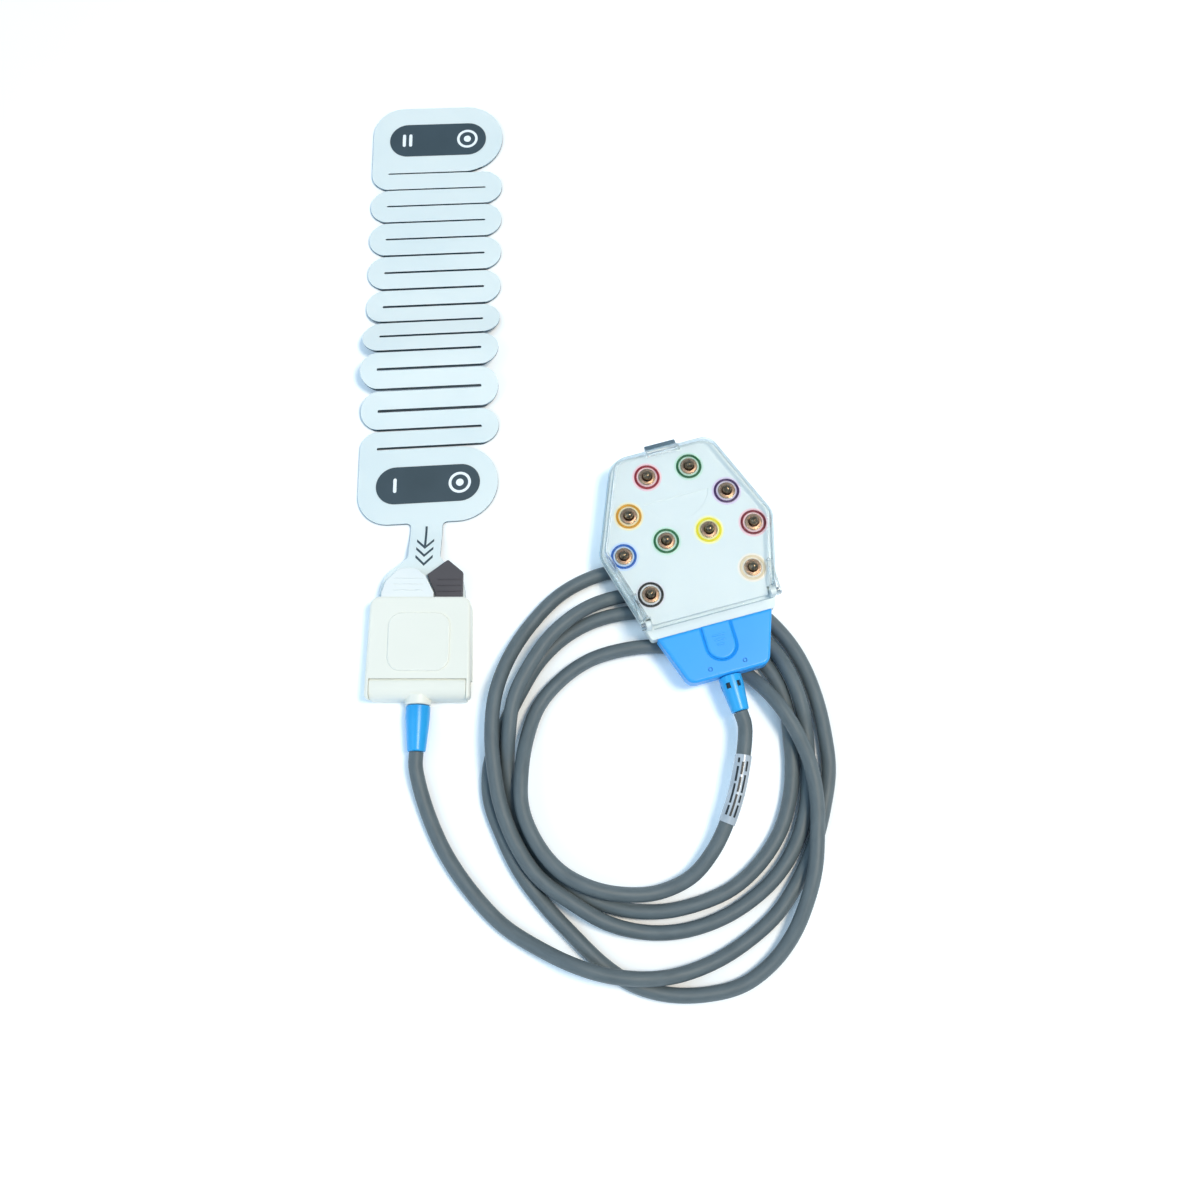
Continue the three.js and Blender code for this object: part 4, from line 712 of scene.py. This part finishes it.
def knife_cut(loop, shut):
    """The outline with its slits partly shut: a point near a slit's middle line moves towards it by
    shut millimetres, by less the further off it is, and never by more than seven tenths of the way."""
    middle = PAD + PITCH / 2 * np.clip(np.round((loop[:, 1] - PAD) / (PITCH / 2)), 0, 2 * TURNS)
    off = loop[:, 1] - middle
    move = np.minimum(shut * np.clip(1.55 - np.abs(off), 0, 1), 0.7 * np.abs(off))
    return np.column_stack([loop[:, 0], loop[:, 1] - move * np.sign(off)])


# %% Foam and film
GEL, FILM_TOP, FOAM_TOP = 0.4, 0.7, 1.7
# The foam's slits gape over the hump and are half as wide towards the upper pad, the film's are narrow
lie_shut = 0.26 * np.clip((strip_outline[:, 1] / LENGTH - 0.4) / 0.4, 0, 1)
foam_sheet = cut_sheet(knife_cut(strip_outline, lie_shut), FILM_TOP, FOAM_TOP, 0.22)
foam_piece = make("patch_foam", laid(foam_sheet))
seat(foam_piece, (foam, foam_edge_shade, foam_slit_shade), "patch_carrier", angle=50)
# Steep faces take the painted edge shade, and the steep faces among the slits take the darker painted slit
# shade
repaint(foam_piece, lambda centre, normal: np.abs(normal[:, 2]) < 0.5)
slit_low, slit_high = by_patch([[-SLIT_TURN - 2, PAD - 3, 0], [SLIT_TURN, LENGTH - PAD + 3, 0]])
repaint(foam_piece, lambda centre, normal: (np.abs(normal[:, 2]) < 0.5)
        & ((centre > slit_low) & (centre < slit_high))[:, :2].all(axis=1), 2)

# Two gels lie under each pad, and three under the lobes along either side
GEL_SIDE, GEL_EDGE = 14.0, 9.5
gel_spots = [(side * GEL_SIDE, y) for y in (PAD / 2, LENGTH - PAD / 2) for side in (-1, 1)]
gel_spots += [(HALF - GEL_EDGE, rung[k] + PITCH / 2) for k in (5, 6, 7)]
gel_spots += [(GEL_EDGE - HALF, rung[k] + PITCH) for k in (4, 5, 6)]
dome = turned([[0, 0], [4.5, 0], [5.9, 0.06], [6.4, 0.2], [6.5, 0.45], [0, 0.45]], 48)
gels = [laid(skin(dome + [x, y, 0])) for x, y in gel_spots]
strips = [laid(skin(box(x - 0.8, x + 0.8, -55.9, -46.9, 0.3, 0.5))) for x in 3.2 * (np.arange(10) - 4.5)]
# The film's slits are narrow, so its dark face fills the bottom of each foam slit as painted shade
film_sheet = cut_sheet(knife_cut(strip_outline, 0.4), GEL, FILM_TOP, 0.1, 3.0)
seat(make("patch_film", laid(film_sheet), *strips), slit_shade_film, "electrode_film")
seat(make("patch_gels", *gels), gel, like="electrode_film")
print("gels under the patch:", len(gels), "contact strips:", len(strips))


# %% [markdown]
# ## Printed marks
#
# Each pad carries a dark printed pill, so that the wearer knows which end is
# which. Here one has a single bar and the other has two, beside a plain ring
# with a dot where the gel lies. An arrow and two more chevrons on the neck
# show which way it goes into the clip.

# %% Pills and marks
def stadium(x, y, length, width):
    """A straight bar with round ends, along x."""
    straight, end = (length - width) / 2, width / 2
    return np.vstack([arc(x + straight, y, end, -90, 90, 24), arc(x - straight, y, end, 90, 270, 24)])


def mark(outline_points, bottom, top):
    """A thin print laid on the draped patch."""
    return laid(cut_sheet(outline_points, bottom, top, 0.02))


PRINT, INK = 0.2, 0.06
PRINT_TOP = FOAM_TOP + PRINT
for which, y, bars in (("lower", PAD / 2, (-14.5,)), ("upper", LENGTH - PAD / 2, (-16.0, -13.0))):
    pill = make(which + "_pad_print", mark(stadium(0, y, 45.7, 17.2), FOAM_TOP, PRINT_TOP))
    seat(pill, ink, which + "_pad_label")
    low, high = PRINT_TOP, PRINT_TOP + INK
    circle = turned([[4.9, low], [4.9, high], [3.7, high], [3.7, low]], 64) + [GEL_SIDE, y, 0]
    signs = [laid(skin(circle, ends="loop")), mark(arc(GEL_SIDE, y, 1.7, 0, 345, 23), low, high)]
    for x in bars:
        bar = np.vstack([arc(x, y + 2.6, 0.75, 0, 180, 12), arc(x, y - 2.6, 0.75, 180, 360, 12)])
        signs.append(mark(bar, low, high))
    seat(make(which + "_pad_signs", *signs), white_ink, like=which + "_pad_label")

stem = np.array([[-0.48, -11.6], [0.48, -11.6], [0.48, -1.8], [-0.48, -1.8]])
chevron = np.array([[-3.7, -1.34], [0, -5.04], [3.7, -1.34], [3.7, 0], [0, -3.7], [-3.7, 0]])
shapes = [stem] + [chevron + [0, y] for y in (-8, -12, -16)]
arrow = make("neck_marks", *(mark(shape, FOAM_TOP, FOAM_TOP + INK) for shape in shapes))
seat(arrow, ink, like="lower_pad_label")

# %% [markdown]
# ## The clip
#
# The clip is a white moulded base with a hinged lid. Its rear is a barrel
# that the cable enters, and two ears of the lid embrace it. In front the lid
# ends in a ribbed tab, and beside it a darker jaw pokes out a tab of its own.
# Solids of this kind are made most easily as they are thought of: soft blocks
# joined, and openings cut out.

# %% Clip base
CLIP_SIDE, CLIP_REAR, BASE_REAR = 21.1, -43.5, -34.7
# The hinge's axis, in y and z, and the gap between the lid's ears, in x
HINGE, EARS = (-37.1, 8.8), (-20.22, 20.3)


def clip_outline(rear, corner=0.0):
    """The clip's plan, which widens a little towards its rear."""
    side = CLIP_SIDE + 0.9 * rear / CLIP_REAR
    return [(-side, rear, corner), (side, rear, corner), (CLIP_SIDE, 0, 4), (-CLIP_SIDE, 0, 4)]


def lathe_back(profile, start, height, sides=48):
    """A profile of (radius, distance) turned about a level axis that runs back from start."""
    return turned(profile, sides)[..., [0, 2, 1]] * [1, -1, 1] + [0, start, height]


barrel = [(CLIP_REAR, 0, 1.2), (-32.7, 0), (-32.7, 5.7), (BASE_REAR, 5.7), (BASE_REAR, 11.2, 2.4),
          (CLIP_REAR, 11.2, 4.4)]
collar = lathe_back([[5.3, -2], [5.3, 1.3], [5.2, 1.7], [4.9, 2.0], [4.5, 2.1]], CLIP_REAR, CLIP_AXIS)
pin_bore = rod(*HINGE, 1.2, -30, 30)
base = mould("clip_base_skin", by_clip, soft_block(clip_outline(BASE_REAR), 0, 6, 1.2, 0.2))
combine(base, *tools(by_clip, across(barrel, -20.18, 20.1, 0.4), collar), how="UNION")
openings = [box(-19.1, 19.1, -30, -3, 1.6, 8), box(-19.1, 19.1, -30, 2, 4.4, 8), pin_bore]
combine(base, *tools(by_clip, *openings))
seat(base, abs_white, "clip_base", bevel=0.06)


# %% Clip lid
def ribs(left, right, first, top):
    """Three small ridges of triangular section across a tab."""
    return [across([(y, top - 0.1), (y + 0.9, top - 0.1), (y + 0.45, top + 0.4, 0.15)], left, right, 0.1)
            for y in first + 2.6 * np.arange(3)]


lid = mould("clip_lid_skin", by_clip, soft_block(clip_outline(CLIP_REAR, 1.6), 6.3, 11.5, 0.15, 1.3))
combine(lid, *tools(
    by_clip, box(*EARS, -46, -35.2, 4, 14), rod(*HINGE, 2.7, *EARS), box(*EARS, -37.1, -34.6, 4, 8.8),
    box(-17.8, 17.8, -30.8, -2.2, 4, 9.9), box(5.4, 17.6, -2.8, 3, 4, 9.3), pin_bore,
))
thumb_pad = soft_block(rectangle(-13, 13, -32.2, -7.1, 6), 10.9, 12.2, 0, 0.7)
combine(lid, *tools(by_clip, thumb_pad), how="UNION")
seat(lid, abs_white, "clip_lid", bevel=0.06)
lid_tab = [(-16.9, -1.9), (5.2, -1.9), (5.2, 2.2), (1.5, 9.6, 1.5), (-2.4, 12.9, 3.5), (-9.6, 12.9, 4.5),
           (-15.4, 7, 6), (-16.9, 2, 3)]
tab = mould("lid_tab", by_clip, soft_block(lid_tab, 7.4, 10, 0.2, 0.5), *ribs(-11.6, 0.4, 2.6, 10))
seat(tab, abs_tab, like="clip_lid")

# %% Jaw
jaw_block = soft_block(rectangle(-17.5, 17.5, -30.5, -2.5, 0.4), 6.3, 9.4, 0.2, 0.3)
jaw = mould("clip_jaw_skin", by_clip, jaw_block)
combine(jaw, *tools(by_clip, box(-15.5, 15.5, -22.7, -10.7, 4, 7.6)))
seat(jaw, abs_dark, "clip_jaw", bevel=0.08)
jaw_tab = [(5.7, -5), (17.3, -5), (17.3, 11.4, 1.2), (10.7, 17, 0.8), (1.9, 10.3, 0.8), (5.7, 2.1, 0.8)]
tab = mould("jaw_tab", by_clip, soft_block(jaw_tab, 6.3, 8.6, 0.15, 0.4), *ribs(6.4, 16.5, 2.4, 8.6))
seat(tab, abs_dark, like="clip_jaw")

# %% [markdown]
# ## Sleeves
#
# Where the cable enters the clip and the plug, a tapered sleeve keeps it from
# kinking. It is turned: a profile swept round the cable's axis, with a small
# rounded lip. The plug's sleeve has windows near its root that let it flex.

# %% Sleeves
def sleeve(root, tip, length, lip=0.6):
    """A profile that runs straight, tapers and closes in a rounded lip."""
    angle = np.linspace(0, math.pi / 2, 7)[:, None]
    straight = [[0, 0], [root - 0.3, 0], [root, 0.3], [root, length / 4]]
    wall = [[root + (tip - root) * t, length / 4 + (length * 0.75 - lip) * t] for t in (0.25, 0.5, 0.75)]
    rounded = np.hstack([tip - lip + lip * np.cos(angle), length - lip + lip * np.sin(angle)])
    return np.vstack([straight, wall, rounded, [[0, length]]])


clip_sleeve = mould("clip_sleeve", by_clip, lathe_back(sleeve(5.05, 3.85, 18.9), -45.9, CLIP_AXIS, 64))
seat(clip_sleeve, sleeve_blue, "clip_strain_relief")
PLUG_ROOT = -41
plug_sleeve = mould("plug_sleeve", by_adapter, lathe_back(sleeve(4.8, 3.7, 15.2), PLUG_ROOT, PLUG_AXIS, 64))
# Six windows go through the wall, and a black ring of painted shade behind them makes them look dark inside
windows = []
for angle in (np.arange(6) + 0.5) * math.pi / 3:
    c, s = math.cos(angle), math.sin(angle)
    window = box(-1, 1, -1.2, 1.2, 3.7, 6) @ [[c, 0, -s], [0, 1, 0], [s, 0, c]]
    windows.append(window + [0, -45.2, PLUG_AXIS])
combine(plug_sleeve, *tools(by_adapter, *windows))
seat(plug_sleeve, sleeve_blue, "plug_strain_relief", bevel=0.1)
window_shade_core = lathe_back([[3.9, 3], [3.95, 3.1], [3.95, 5.4], [3.9, 5.5]], PLUG_ROOT, PLUG_AXIS)
seat(mould("plug_sleeve_shade_core", by_adapter, window_shade_core), black_epoxy_and_window_shade, like="plug_strain_relief")

# %% [markdown]
# ## The plug
#
# The blue plug is two shells that meet halfway up. In its top a long button
# with a round end lies in a groove of the same shape, and two small round
# marks of the ejector pins stand beside it.

# %% Plug shells and button
PLUG = [(-17.1, -40.7, 4.5), (17.1, -40.7, 4.5), (24.9, -18.6, 0.6), (-24.9, -18.6, 0.6)]


def button_plan(margin, front):
    """A strip with a round rear end, wider than the button by the margin on each side."""
    side = 6.1 + margin
    rear, round_end = -34.1 - margin, side - 0.05
    return [(-side, rear, round_end), (side, rear, round_end), (side, front), (-side, front)]


plug_top = mould("plug_top_skin", by_adapter, soft_block(PLUG, 12.3, 16.4, 0.2, 1.3))
well = soft_block(button_plan(0.06, -10), 11, 16, steps=24)
flared = stack([(button_plan(margin, -10), z) for margin, z in ((0.06, 15.6), (0.5, 15.75), (1.2, 16.6))], 24)
pin_mark = turned([[0.95, 15.7], [0.95, 17], [0.6, 17], [0.6, 15.7]], 32)
pin_marks = [pin_mark + [x, -36.9, 0] for x in (-7.4, 7.4)]
combine(plug_top, *tools(by_adapter, well, flared), *tools(by_adapter, *pin_marks, ends="loop"))
seat(plug_top, blue, "plug_top")
plug_bottom = mould("plug_bottom_skin", by_adapter, soft_block(PLUG, 7.6, 12, 1.3, 0.2))
combine(plug_bottom, *tools(by_adapter, box(-14.3, 14.3, -33.3, -16, 9.6, 14)))
seat(plug_bottom, blue, "plug_bottom")
grips = [soft_block(rectangle(-w, w, y, y + 0.8, 0.35), 16.55, 16.85, 0, 0.2)
         for w, y in ((2.8, -24.2), (2.2, -26.2), (1.6, -28.2))]
button = soft_block(button_plan(0, -18.6), 13.6, 16.6, 0.1, 1.0, 24)
seat(mould("button_skin", by_adapter, button, *grips), blue, "release_button")

# %% [markdown]
# ## The snap adapter
#
# The adapter is a flat white hexagon. Its upper plate carries ten studs, each
# in a printed coloured ring that tells one lead from the next, and a clear
# cover closes over them. The plate has a shallow half-moon and two dimples.

# %% Plate
# Places on the adapter are shares of its half width and of its reach from its origin to its far end
SHARES = WIDE, FAR = 38.5, 62.4
HEXAGON = [(-22.5, FAR, 9), (-WIDE, 22, 7), (-27.4, -18.3, 2), (27.4, -18.3, 2), (WIDE, 22, 7),
           (22.5, FAR, 9)]
PLATE_TOP = 16.6
# For each lead, where its stud stands and its ring's strong and pale colours
LEADS = {
    "black": (-0.577, 0, "0c0d0f", "e4e6e8"), "cream": (0.577, 0, "e2d0ae", "f6efe2"),
    "green_lower": (-0.243, 0.333, "0a6132", "cfeadb"), "yellow": (0.243, 0.333, "e4d716", "f7f3b8"),
    "blue": (-0.739, 0.304, "1258ab", "cfe2f6"), "red_right": (0.739, 0.304, "730a1f", "f3d2d6"),
    "orange": (-0.562, 0.569, "cd9010", "f8ecc4"), "purple": (0.562, 0.569, "37104c", "e0d5e8"),
    "red_left": (-0.242, 0.808, "8a0f23", "f6d3d7"), "green_upper": (0.242, 0.808, "0b5a2f", "cde9d9"),
}


def posts(places, profile, sides):
    """The profile turned about an upright axis at each of the places."""
    return [turned(profile, sides) + [*np.array(place) * SHARES, 0] for place in places]


stud_places = [lead[:2] for lead in LEADS.values()]
plate = mould("adapter_plate_skin", by_adapter, soft_block(inset(HEXAGON, 2.6), 14.5, PLATE_TOP, 0.1, 0.4))
disc = turned([[15.0, PLATE_TOP - 0.45], [15.2, PLATE_TOP + 0.1], [15.2, 19]], 96) + [0, 43.4, 0]
moon = mould("moon", by_adapter, disc)
combine(moon, *tools(by_adapter, box(-20, 20, 38.8, 60, 15, 20)))
rear = [box(-40, 40, -20, -12.7, 12, 20), box(-40, -25.2, -20, -9.5, 12, 20),
        box(25.2, 40, -20, -9.5, 12, 20)]
dimple = [[1.3, PLATE_TOP - 0.3], [1.8, PLATE_TOP + 0.1], [1.8, 18]]
dimples = posts([(0.01, 0.739), (0.018, -0.077)], dimple, 48)
bores = posts(stud_places, [[1.8, 13], [1.8, 18]], 32)
combine(plate, moon, *tools(by_adapter, *rear, *dimples, *bores))
seat(plate, abs_adapter, "adapter_plate", bevel=0.12)
foot = across([(-12.6, 13.62), (-9, 13.62), (-9, 14.6), (-12.6, 14.6)], -25, 25, 0.1)
seat(mould("plate_foot", by_adapter, foot), abs_adapter, like="adapter_plate")

# %% Lower shell
POST = [(-14.1, 8.2), (-10.9, 8.2), (-10.9, 20.4, 1.55), (-14.1, 20.4, 1.55)]
SCREWS = [(-0.364, 0.152), (0.364, 0.152), (-0.494, 0.811), (0.494, 0.811)]
low_plan = inset(HEXAGON[:2] + [(-27.25, -18.85, 2), (27.25, -18.85, 2)] + HEXAGON[4:], 0.6)
cover_bore = rod(-12.5, 18.8, 1.1, -35, 35)
shell = mould("adapter_shell_skin", by_adapter, soft_block(low_plan, 6.8, 14.2, 1.4, 0.25))
hollow = mould("hollow", by_adapter, stack([(inset(low_plan, 2.2), 8.6), (inset(low_plan, 2.2), 17)]))
combine(hollow, *tools(by_adapter, box(-40, 40, -22, -9.8, 5, 20)))
combine(shell, hollow, *tools(by_adapter, box(-42, 42, -21, -9.8, 13.6, 17)))
hinge_posts = [across(POST, a, b, 0.1) for a, b in ((-28, -25.7), (25.7, 28))]
combine(shell, *tools(by_adapter, *hinge_posts, *posts(SCREWS, [[3.1, 7.7], [3.1, 14.1]], 40)), how="UNION")
combine(shell, *tools(
    by_adapter, *posts(SCREWS, [[2.8, 4.8], [2.8, 9]], 40), *posts(SCREWS, [[1.5, 6.8], [1.5, 17]], 32),
    box(-15.5, 15.5, -21, -7.8, 8.4, 12.8), cover_bore,
    box(-7.3, 7.3, 60.3, 65, 11.3, 17), box(-7.3, 7.3, 59.4, 62, 11.3, 12.9),
))
seat(shell, abs_adapter, "adapter_shell", bevel=0.1)

# %% Studs and rings
bead = np.linspace(-math.pi / 2, math.pi / 2, 7)
ball = np.radians(np.linspace(-41, 90, 20))
stud_profile = np.vstack([
    [[0, 14.5], [1.5, 14.5], [1.5, 16.9], [3.45, 16.9]],
    np.column_stack([3.46 + 0.24 * np.cos(bead), 17.16 + 0.24 * np.sin(bead)]),
    [[3.2, 17.34], [2.9, 17.42], [2.6, 17.56], [2.35, 17.56], [2.2, 17.4], [1.6, 17.3]],
    np.column_stack([2.0 * np.cos(ball), 18.5 + 2.0 * np.sin(ball)]),
])
printed = [[5.45, PLATE_TOP], [5.45, 16.86], [5.35, 16.9], [4.5, 16.9], [4.4, 16.86], [4.4, PLATE_TOP]]
tinted = [[6.3, PLATE_TOP - 0.05], [6.3, 16.63], [1.9, 16.63], [1.9, PLATE_TOP - 0.05]]
# Within these radii the flange is worn, and the ball takes the painted dark reflection
WORN, PAINTED_DARK = 3.25, 2.15
for colour, (*place, strong, pale) in LEADS.items():
    shown = colour.replace("_", " ")
    stud = mould("stud_" + colour, by_adapter, *posts([place], stud_profile, 56))
    seat(stud, (gold, gold_worn, gold_dark_reflection), "snap_stud_" + colour)
    middle = by_adapter([*np.array(place) * SHARES, 0])[:2]
    for index, reach in ((1, WORN), (2, PAINTED_DARK)):
        repaint(stud, lambda centre, normal: (np.linalg.norm(centre[:, :2] - middle, axis=1) < reach)
                & (centre[:, 2] > 17), index)
    ring = mould("ring_" + colour, by_adapter, *posts([place], printed, 72), ends="loop")
    seat(ring, satin("ring ink, " + shown, strong, strong, 0.4, 3, 0.3, 0.008), "lead_ring_" + colour)
    tint = mould("tint_" + colour, by_adapter, *posts([place], tinted, 72), ends="loop")
    seat(tint, satin("ring tint, " + shown, pale, pale, 0.4, 3, 0.3, 0.004), like="lead_ring_" + colour)

# %% [markdown]
# The cover is one clear moulding of polycarbonate. Its edges are painted darker
# than its flat top: painted shade where the eye looks along the wall. It has to
# be a real shell with an inside and an outside for that, and its big faces have
# to stay flat, or they would bend what lies under them.

# %% Clear cover
clear, tree, shader, place = blank("clear moulded polycarbonate")
ripple = add(tree, "ShaderNodeTexNoise", Vector=place, Scale=1 / (9 * MM))
gloss = add(tree, "ShaderNodeMapRange", Value=ripple, To_Min=0.0, To_Max=0.012)
# Part of the light passes straight, so what lies under the cover stays as bright as in the photograph
feed(shader, Base_Color=linear("fafdfe"), Roughness=gloss, IOR=1.5, Transmission_Weight=1.0, Alpha=0.18)


def variant(name, **inputs):
    """The same plastic with some of its shader's values changed."""
    other = clear.copy()
    other.name = name
    feed(other.node_tree.nodes["Principled BSDF"], **inputs)
    return other


# Walls that the eye looks along, and the thick lever of the latch, are painted darker: painted shade for the
# dark lines that clear plastic shows edge on
edge_shade_clear = variant("clear polycarbonate, painted edge shade", Base_Color=linear("7d95a2"), Alpha=0.8)
lever_shade_clear = variant("clear polycarbonate, painted lever shade", Base_Color=linear("4f6a7a"), Alpha=0.85)
# A flat sheet bends light back as it leaves, so a low IOR on its faces keeps the rings from doubling
flat = variant("clear polycarbonate, flat sheet", IOR=1.12)


# %% Cover and latch
def shell_levels(first, last, edge, steps, heights):
    """Levels of a wall that leans inward from first to last, under an edge of a quarter ellipse."""
    foot, shoulder, top = heights
    rounded = [(inset(HEXAGON, last + edge * (1 - math.cos(a))), shoulder + (top - shoulder) * math.sin(a))
               for a in np.linspace(0, math.pi / 2, steps)]
    return [(inset(HEXAGON, first), foot)] + rounded


cover = mould("clear_cover_skin", by_adapter, stack(shell_levels(0, 2, 1.3, 8, (14.5, 20.4, 22)), 14))
hollow = stack(shell_levels(0.52, 3.15, 0.5, 5, (12.5, 20.2, 20.8)), 14)
combine(cover, *tools(
    by_adapter, hollow, box(-42, 42, -21, -15.8, 0, 24), box(-42, 42, -21, -9.6, 0, 20.8),
    box(-42, -25.4, -21, -10.3, 0, 24), box(25.4, 42, -21, -10.3, 0, 24), box(-7.1, 7.1, 57.4, 66, 0, 24),
))
ear = [(-14.4, 16.9, 0.95), (1.4, 16.9, 0.5), (1.4, 20.9, 0.5), (-14.4, 20.9, 0.95)]
combine(cover, *tools(by_adapter, across(ear, -30, -28.3, 0.2), across(ear, 28.3, 30, 0.2)), how="UNION")
combine(cover, *tools(by_adapter, cover_bore))
seat(cover, (clear, edge_shade_clear, lever_shade_clear, flat), "clear_cover", angle=30)
# The outer wall leans by 2 mm over its 5.9 mm, and it stays clear. Other steep faces are seen edge on and
# take the painted edge shade
LEAN = 2 / math.hypot(2, 5.9)
repaint(cover, lambda centre, normal: (centre[:, 2] < 14.6)
        | ((np.abs(normal[:, 2]) < 0.85) & (np.abs(np.abs(normal[:, 2]) - LEAN) > 0.05)))
# The front edge of the top sheet takes the darker painted lever shade, as a thin dark line
repaint(cover, lambda centre, normal: (normal @ TURNED[:, 1] < -0.9) & (centre[:, 2] > 20.8), 2)
repaint(cover, lambda centre, normal: (np.abs(normal[:, 2]) > 0.99) & (centre[:, 2] > 20.5), 3)

latch_profile = [
    (59.9, 11.6, 0.2), (62.4, 11.6, 0.3), (62.4, 14.5, 0.3), (64.1, 15.8, 0.4), (64.1, 17.1, 0.5),
    (61.4, 18.3, 0.3), (60.4, 22, 0.4), (57.4, 22, 0.2), (57.4, 20.8, 0.2), (58.8, 20.8, 0.4),
    (60.8, 14.5, 0.3), (60.8, 12.6, 0.2), (59.9, 12.1, 0.1),
]
latch = mould("cover_latch_skin", by_adapter, across(latch_profile, -6.8, 6.8, 0.3, 4))
seat(latch, (clear, lever_shade_clear), "cover_latch", angle=30)
# The lever's front part and its two ends take the painted lever shade
repaint(latch, lambda centre, normal: ((centre - ADAPTER) @ TURNED[:, 1] > 62)
        | (np.abs(normal @ TURNED[:, 0]) > 0.9))

# %% [markdown]
# ## Solids that keep their own shape
#
# The circuit boards, the screws, the pins and the plug's tongue are right as
# they are. They need whole flat faces, eased edges and their materials.

# %% Dressed solids
DRESS = {
    "jaw_pressure_pad": silicone, "clip_board": solder_mask, "clip_contact_strip": carbon_rubber,
    "clip_hinge_pin": steel, "plug_tongue": tongue_white, "adapter_circuit": solder_mask,
    "adapter_socket": abs_dark, "resistor_pack_left": black_epoxy_and_window_shade, "resistor_pack_right": black_epoxy_and_window_shade,
}
for start in ("shell_screw_rear_", "shell_screw_front_", "cover_hinge_pin_"):
    DRESS.update({start + side: steel for side in ("left", "right")})
for owner, material in DRESS.items():
    dressed(owner, material)

# %% [markdown]
# ## Table and light
#
# The photograph has a plain white ground. Warm light comes from the right,
# and what it doesn't reach is lit by a pale blue sky, so the soft shadows
# turn blue. The ground is meant to look white, so it is a light table that
# glows faintly, except right beside what stands on it, and far out, where the
# lamps don't reach, it glows more. The sky pales towards the horizon, as a
# studio's sweep does. The picture shows light as it is, without a film's
# shoulder.

# %% Table, lamps and sky
REACH = 8000.0
corners = REACH * np.array([[-1, -1, 0], [1, -1, 0], [1, 1, 0], [-1, 1, 0]])
table = make("table", (corners, [[0, 1, 2, 3]]))
opal = satin("opal light table", "fcfdfd", "f9fafb", 0.85, 80, 1.5, 0.01)
tree = opal.node_tree
# The glow drops right beside what stands on the table: a painted contact shadow
near = add(tree, "ShaderNodeAmbientOcclusion", {"samples": 8}, Distance=5 * MM).outputs["AO"]
glow = add(tree, "ShaderNodeMapRange", Value=near, From_Min=0.4, To_Max=0.25)
place = add(tree, "ShaderNodeTexCoord").outputs["Object"]
away = add(tree, "ShaderNodeVectorMath", {"operation": "LENGTH"}, Vector=place).outputs["Value"]
far = add(tree, "ShaderNodeMapRange", Value=away, From_Min=0.45, From_Max=2.2)
power = add(tree, "ShaderNodeMapRange", Value=far, To_Min=glow, To_Max=0.53)
hue = add(tree, "ShaderNodeValToRGB", stops=((0, "cfeafd"), (1, "ffe8ce")), Fac=far)
feed(tree.nodes["Principled BSDF"], Emission_Strength=power, Emission_Color=hue)
table.data.materials.append(opal)

sky = bpy.data.worlds.new("sky")
sky.use_nodes = True
tree = sky.node_tree
split = add(tree, "ShaderNodeSeparateXYZ", Vector=add(tree, "ShaderNodeTexCoord").outputs["Generated"])
pale = add(tree, "ShaderNodeValToRGB", stops=((0.16, "eff4f8"), (0.34, "91b1cb")), Fac=split.outputs["Z"])
feed(tree.nodes["Background"], Color=pale)
bpy.context.scene.world = sky
bpy.context.scene.view_settings.view_transform = "Standard"

# Two square soft boxes that look at the middle of the table
for name, place, size, power, colour in (("key box", (0.5, -0.15, 1.3), 0.35, 13, "fff2de"),
                                         ("fill box", (-0.9, -0.4, 1.1), 0.9, 4.5, "d4ebff")):
    data = bpy.data.lights.new(name, "AREA")
    data.size, data.energy, data.color = size, power, linear(colour)[:3]
    lamp = show(name, data)
    lamp.location = place
    lamp.rotation_euler = (-Vector(place)).to_track_quat("-Z", "Y").to_euler()
